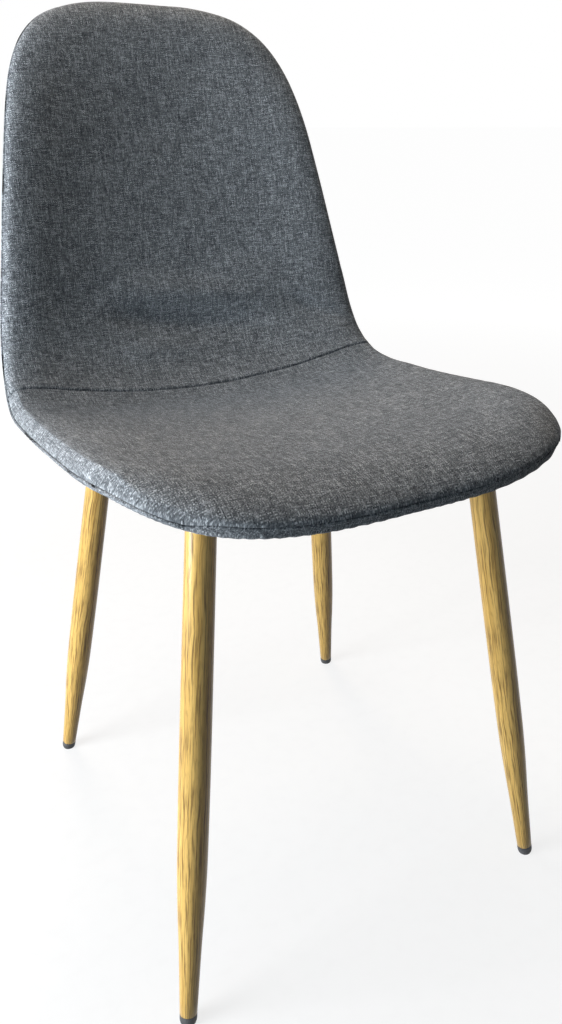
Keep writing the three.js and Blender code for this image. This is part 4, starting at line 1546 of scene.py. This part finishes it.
# %% Make the film's finish
film_pale = (0.72, 0.462, 0.138)
film_middle = (0.51, 0.304, 0.076)
film_brown = (0.105, 0.052, 0.013)
streak_strength = 0.78
pore_strength = 0.45
pore_depth = 0.00006


def oak_film(wiring):
    around, along, _ = wiring.split(wiring.add("ShaderNodeUVMap", {"uv_map": "wrap"}, {})["UV"])
    wander = wiring.noise(wiring.place(around * 60, along * 20), detail=3.0)
    bands = wiring.noise(wiring.place(around * 170 + wander, along * 4.0), detail=3.0)
    streaks = wiring.noise(wiring.place(around * 640 + wander * 3.4, along * 22), detail=3.0)
    streak_mask = ((streaks - 0.48) * 6.0).clamped()
    pores = wiring.noise(wiring.place(around * 1500 + wander * 5.0, along * 75), detail=2.0)
    pore_mask = ((pores - 0.58) * 9.0).clamped()
    base = wiring.ramp(bands, (0.36, film_middle), (0.64, film_pale))
    streaked = wiring.mix(streak_mask * streak_strength, base, film_brown)
    return {
        "Base Color": wiring.mix(pore_mask * pore_strength, streaked, film_brown),
        "Roughness": 0.40 + pore_mask * 0.12,
        "Normal": wiring.bump(1.0 - pore_mask * 0.6, pore_depth, 0.5),
        "Coat Weight": 0.45,
        "Coat Roughness": 0.16,
        "Specular IOR Level": 0.10,
    }


film = new_finish("oak_film", oak_film)
for piece in legs:
    dress(piece, film)
print("film wrapped round", len(legs), "legs")

# %% [markdown]
# ## Plastic, steel, rubber, wood, foam and felt
# These finishes are small, and a single colour would look like clay. Each has its own grain: the plastic is
# spark-eroded, the frame's powder coat has a fine orange peel, the bolts have a cloudy zinc plate, and the
# dust cloth is a bonded web with pressed dots. Each is one noise or two in metres on the piece, which set
# its colour and roughness and, on all but the zinc, a fine bump.


# %% Plastic, powder coat, zinc and rubber
def moulded_plastic(wiring):
    place = object_place(wiring)
    grain = wiring.noise(place, scale=2600.0, detail=2.0)
    scuffs = wiring.noise(place, scale=160.0, detail=4.0)
    return {
        "Base Color": wiring.ramp(scuffs, (0.35, (0.035, 0.036, 0.038)), (0.75, (0.085, 0.085, 0.088))),
        "Roughness": 0.42 + scuffs * 0.3,
        "Normal": wiring.bump(grain, 0.00005, 0.4),
    }


def powder_coat(wiring):
    place = object_place(wiring)
    peel = wiring.noise(place, scale=900.0, detail=1.0)
    dust = wiring.noise(place, scale=45.0, detail=4.0)
    return {
        "Base Color": wiring.ramp(dust, (0.3, (0.014, 0.014, 0.015)), (0.8, (0.030, 0.030, 0.031))),
        "Roughness": 0.38 + dust * 0.2,
        "Normal": wiring.bump(peel, 0.00008, 0.5),
    }


def zinc_plate(wiring):
    place = object_place(wiring)
    cloud = wiring.noise(place, scale=220.0, detail=3.0)
    return {
        "Base Color": wiring.ramp(cloud, (0.3, (0.48, 0.49, 0.50)), (0.7, (0.66, 0.66, 0.64))),
        "Roughness": 0.24 + cloud * 0.25,
        "Metallic": 1.0,
    }


def black_rubber(wiring):
    grain = wiring.noise(object_place(wiring), scale=1300.0, detail=3.0)
    return {
        "Base Color": wiring.ramp(grain, (0.3, (0.012, 0.012, 0.012)), (0.8, (0.028, 0.028, 0.027))),
        "Roughness": 0.75 + grain * 0.2,
        "Normal": wiring.bump(grain, 0.00006, 0.5),
    }


print("four finishes for the frame")

# %% Dust cloth, plywood, foam and felt
web_dot_pitch = 0.0011


def bonded_web(wiring):
    place = object_place(wiring)
    x, y, _ = wiring.split(place)
    dots = abs((x * (math.pi / web_dot_pitch)).sine() * (y * (math.pi / web_dot_pitch)).sine())
    fibres = wiring.noise(place, scale=900.0, detail=4.0, roughness=0.7)
    return {
        "Base Color": wiring.ramp(fibres, (0.35, (0.010, 0.010, 0.011)), (0.75, (0.045, 0.045, 0.048))),
        "Roughness": 0.95 - dots * 0.15,
        "Normal": wiring.bump(fibres - dots * 0.6, 0.00012, 0.6),
    }


def moulded_plywood(wiring):
    x, y, z = wiring.split(object_place(wiring))
    grain = wiring.noise(wiring.place(x * 240, y * 9, z * 9), detail=4.0)
    return {
        "Base Color": wiring.ramp(grain, (0.3, (0.36, 0.22, 0.10)), (0.7, (0.62, 0.44, 0.25))),
        "Roughness": 0.6 + grain * 0.2,
        "Normal": wiring.bump(grain, 0.0001, 0.4),
    }


def soft_foam(wiring):
    cells = wiring.noise(object_place(wiring), scale=1500.0, detail=2.0)
    return {
        "Base Color": wiring.ramp(cells, (0.3, (0.62, 0.57, 0.45)), (0.7, (0.84, 0.80, 0.69))),
        "Roughness": 0.9 + cells * 0.1,
        "Normal": wiring.bump(cells, 0.0003, 0.6),
    }


def white_felt(wiring):
    fibres = wiring.noise(object_place(wiring), scale=700.0, detail=5.0, roughness=0.7)
    return {
        "Base Color": wiring.ramp(fibres, (0.3, (0.68, 0.68, 0.66)), (0.7, (0.88, 0.88, 0.86))),
        "Roughness": 0.9 + fibres * 0.1,
        "Normal": wiring.bump(fibres, 0.0003, 0.6),
    }


print("dots of the dust cloth are", web_dot_pitch, "m apart")

# %% Dress the frame and the small pieces
plastic = new_finish("moulded_plastic", moulded_plastic)
coat = new_finish("powder_coat", powder_coat)
zinc = new_finish("zinc_plate", zinc_plate)
rubber = new_finish("black_rubber", black_rubber)
web = new_finish("bonded_web", bonded_web)
plywood = new_finish("moulded_plywood", moulded_plywood)
foam_finish = new_finish("soft_foam", soft_foam)
felt_finish = new_finish("white_felt", white_felt)
finish_of_node = {
    "plywood_shell": plywood, "frame_hub": coat, "frame_arm": coat, "leg_boss": coat, "arm_cap": plastic,
    "mount_pad": rubber, "t_nut": zinc, "seat_bolt": zinc, "washer": zinc, "leg_plug": zinc,
}
dressed = []
for start, material in finish_of_node.items():
    for name, node in nodes.items():
        if name.startswith(start):
            dress(node, material)
            dressed.append(name)
for piece in glides:
    dress(piece, plastic)
dress(foam_piece, foam_finish)
dress(felt_piece, felt_finish)
dress(dust_sheet, web)
dress(staples, zinc)
print("finishes on", len(dressed), "pieces of the frame")

# %% [markdown]
# ## Floor, world and lamps
# The stage is plain: a pale floor and a white world behind it. A large soft lamp low at the left lights the
# rolled edge and draws the streak down each leg. A soft one overhead grazes the back, so its folds show; a
# lamp in front of it would fill them with light. A small warm one high behind throws the back's shadow on
# the rear of the seat, a cool one at the camera's left fills the dark sides, and one behind lights the
# outside. What the camera sees of world and floor is white by itself, so the lamps stay low enough for the
# colours to render as they are written.

# %% Make the floor and the world
floor_size = 120.0
floor_glow = 0.80
far_floor_glow = 0.98
far_floor_start = 0.7
far_floor_length = 2.0
world_light = 0.03


def seen_directly(wiring):
    """1 where the camera, a reflection or glass looks at the stage, and 0 for the light that it gives."""
    path = wiring.add("ShaderNodeLightPath", {}, {})
    return (path["Is Camera Ray"] + path["Is Glossy Ray"] + path["Is Transmission Ray"]).clamped()


def pale_floor(wiring):
    place = object_place(wiring)
    x, y, _ = wiring.split(place)
    away = (((x ** 2.0 + y ** 2.0) ** 0.5 - far_floor_start) / far_floor_length).clamped()
    glow = seen_directly(wiring) * (away * (far_floor_glow - floor_glow) + floor_glow)
    speckle = wiring.noise(place, scale=60.0, detail=3.0)
    return {
        "Base Color": wiring.ramp(speckle, (0.3, (0.19, 0.19, 0.19)), (0.7, (0.21, 0.21, 0.21))),
        "Roughness": 0.8,
        "Specular IOR Level": 0.0,
        "Emission Color": wiring.mix(glow, (0.0, 0.0, 0.0), (1.0, 1.0, 1.0)),
        "Emission Strength": 1.0,
    }


def add_floor():
    bpy.ops.object.select_all(action="DESELECT")
    bpy.ops.mesh.primitive_plane_add(size=floor_size)
    floor = bpy.context.object
    floor.name = "floor"
    dress(floor, new_finish("pale_floor", pale_floor))


def add_world():
    world = bpy.data.worlds.new("world")
    world.use_nodes = True
    scene.world = world
    wiring = Wiring(world.node_tree)
    wiring.feed(world.node_tree.nodes["Background"], {
        "Color": (1.0, 1.0, 1.0),
        "Strength": seen_directly(wiring) * (1.0 - world_light) + world_light,
    })


add_floor()
add_world()
scene.view_settings.view_transform = "Standard"
print("floor is", floor_size, "m wide")

# %% Place the lamps
# the power at which a lamp a metre away renders a colour that faces it as it is written
lamp_unit = math.pi ** 2
# name, place, size, share of a full light, colour
lamps = [
    ("side_lamp", Vector((-1.55, 0.03, 0.56)), (0.8, 1.05), 1.92, (0.94, 0.97, 1.0)),
    ("top_lamp", Vector((0.20, 0.18, 2.00)), (0.7, 0.7), 0.38, (1.0, 0.93, 0.84)),
    ("warm_lamp", Vector((0.10, 0.95, 1.90)), (0.35, 0.35), 0.29, (1.0, 0.80, 0.62)),
    ("front_lamp", Vector((-1.75, -0.80, 0.70)), (0.9, 0.9), 0.34, (0.68, 0.87, 1.0)),
    ("rear_lamp", Vector((-0.50, 2.10, 0.60)), (1.0, 1.0), 0.34, (1.0, 0.98, 0.95)),
]
lamp_target = Vector((0, 0, 0.45))


def add_lamp(name, place, size, share, colour):
    data = bpy.data.lights.new(name, "AREA")
    data.shape = "RECTANGLE"
    data.size, data.size_y = size
    data.energy = lamp_unit * share * (place - lamp_target).length_squared
    data.color = colour
    lamp = bpy.data.objects.new(name, data)
    aim = (lamp_target - place).to_track_quat("-Z", "Y")
    lamp.matrix_world = Matrix.Translation(place) @ aim.to_matrix().to_4x4()
    scene.collection.objects.link(lamp)


for lamp in lamps:
    add_lamp(*lamp)
print("stage lit by", len(lamps), "lamps")
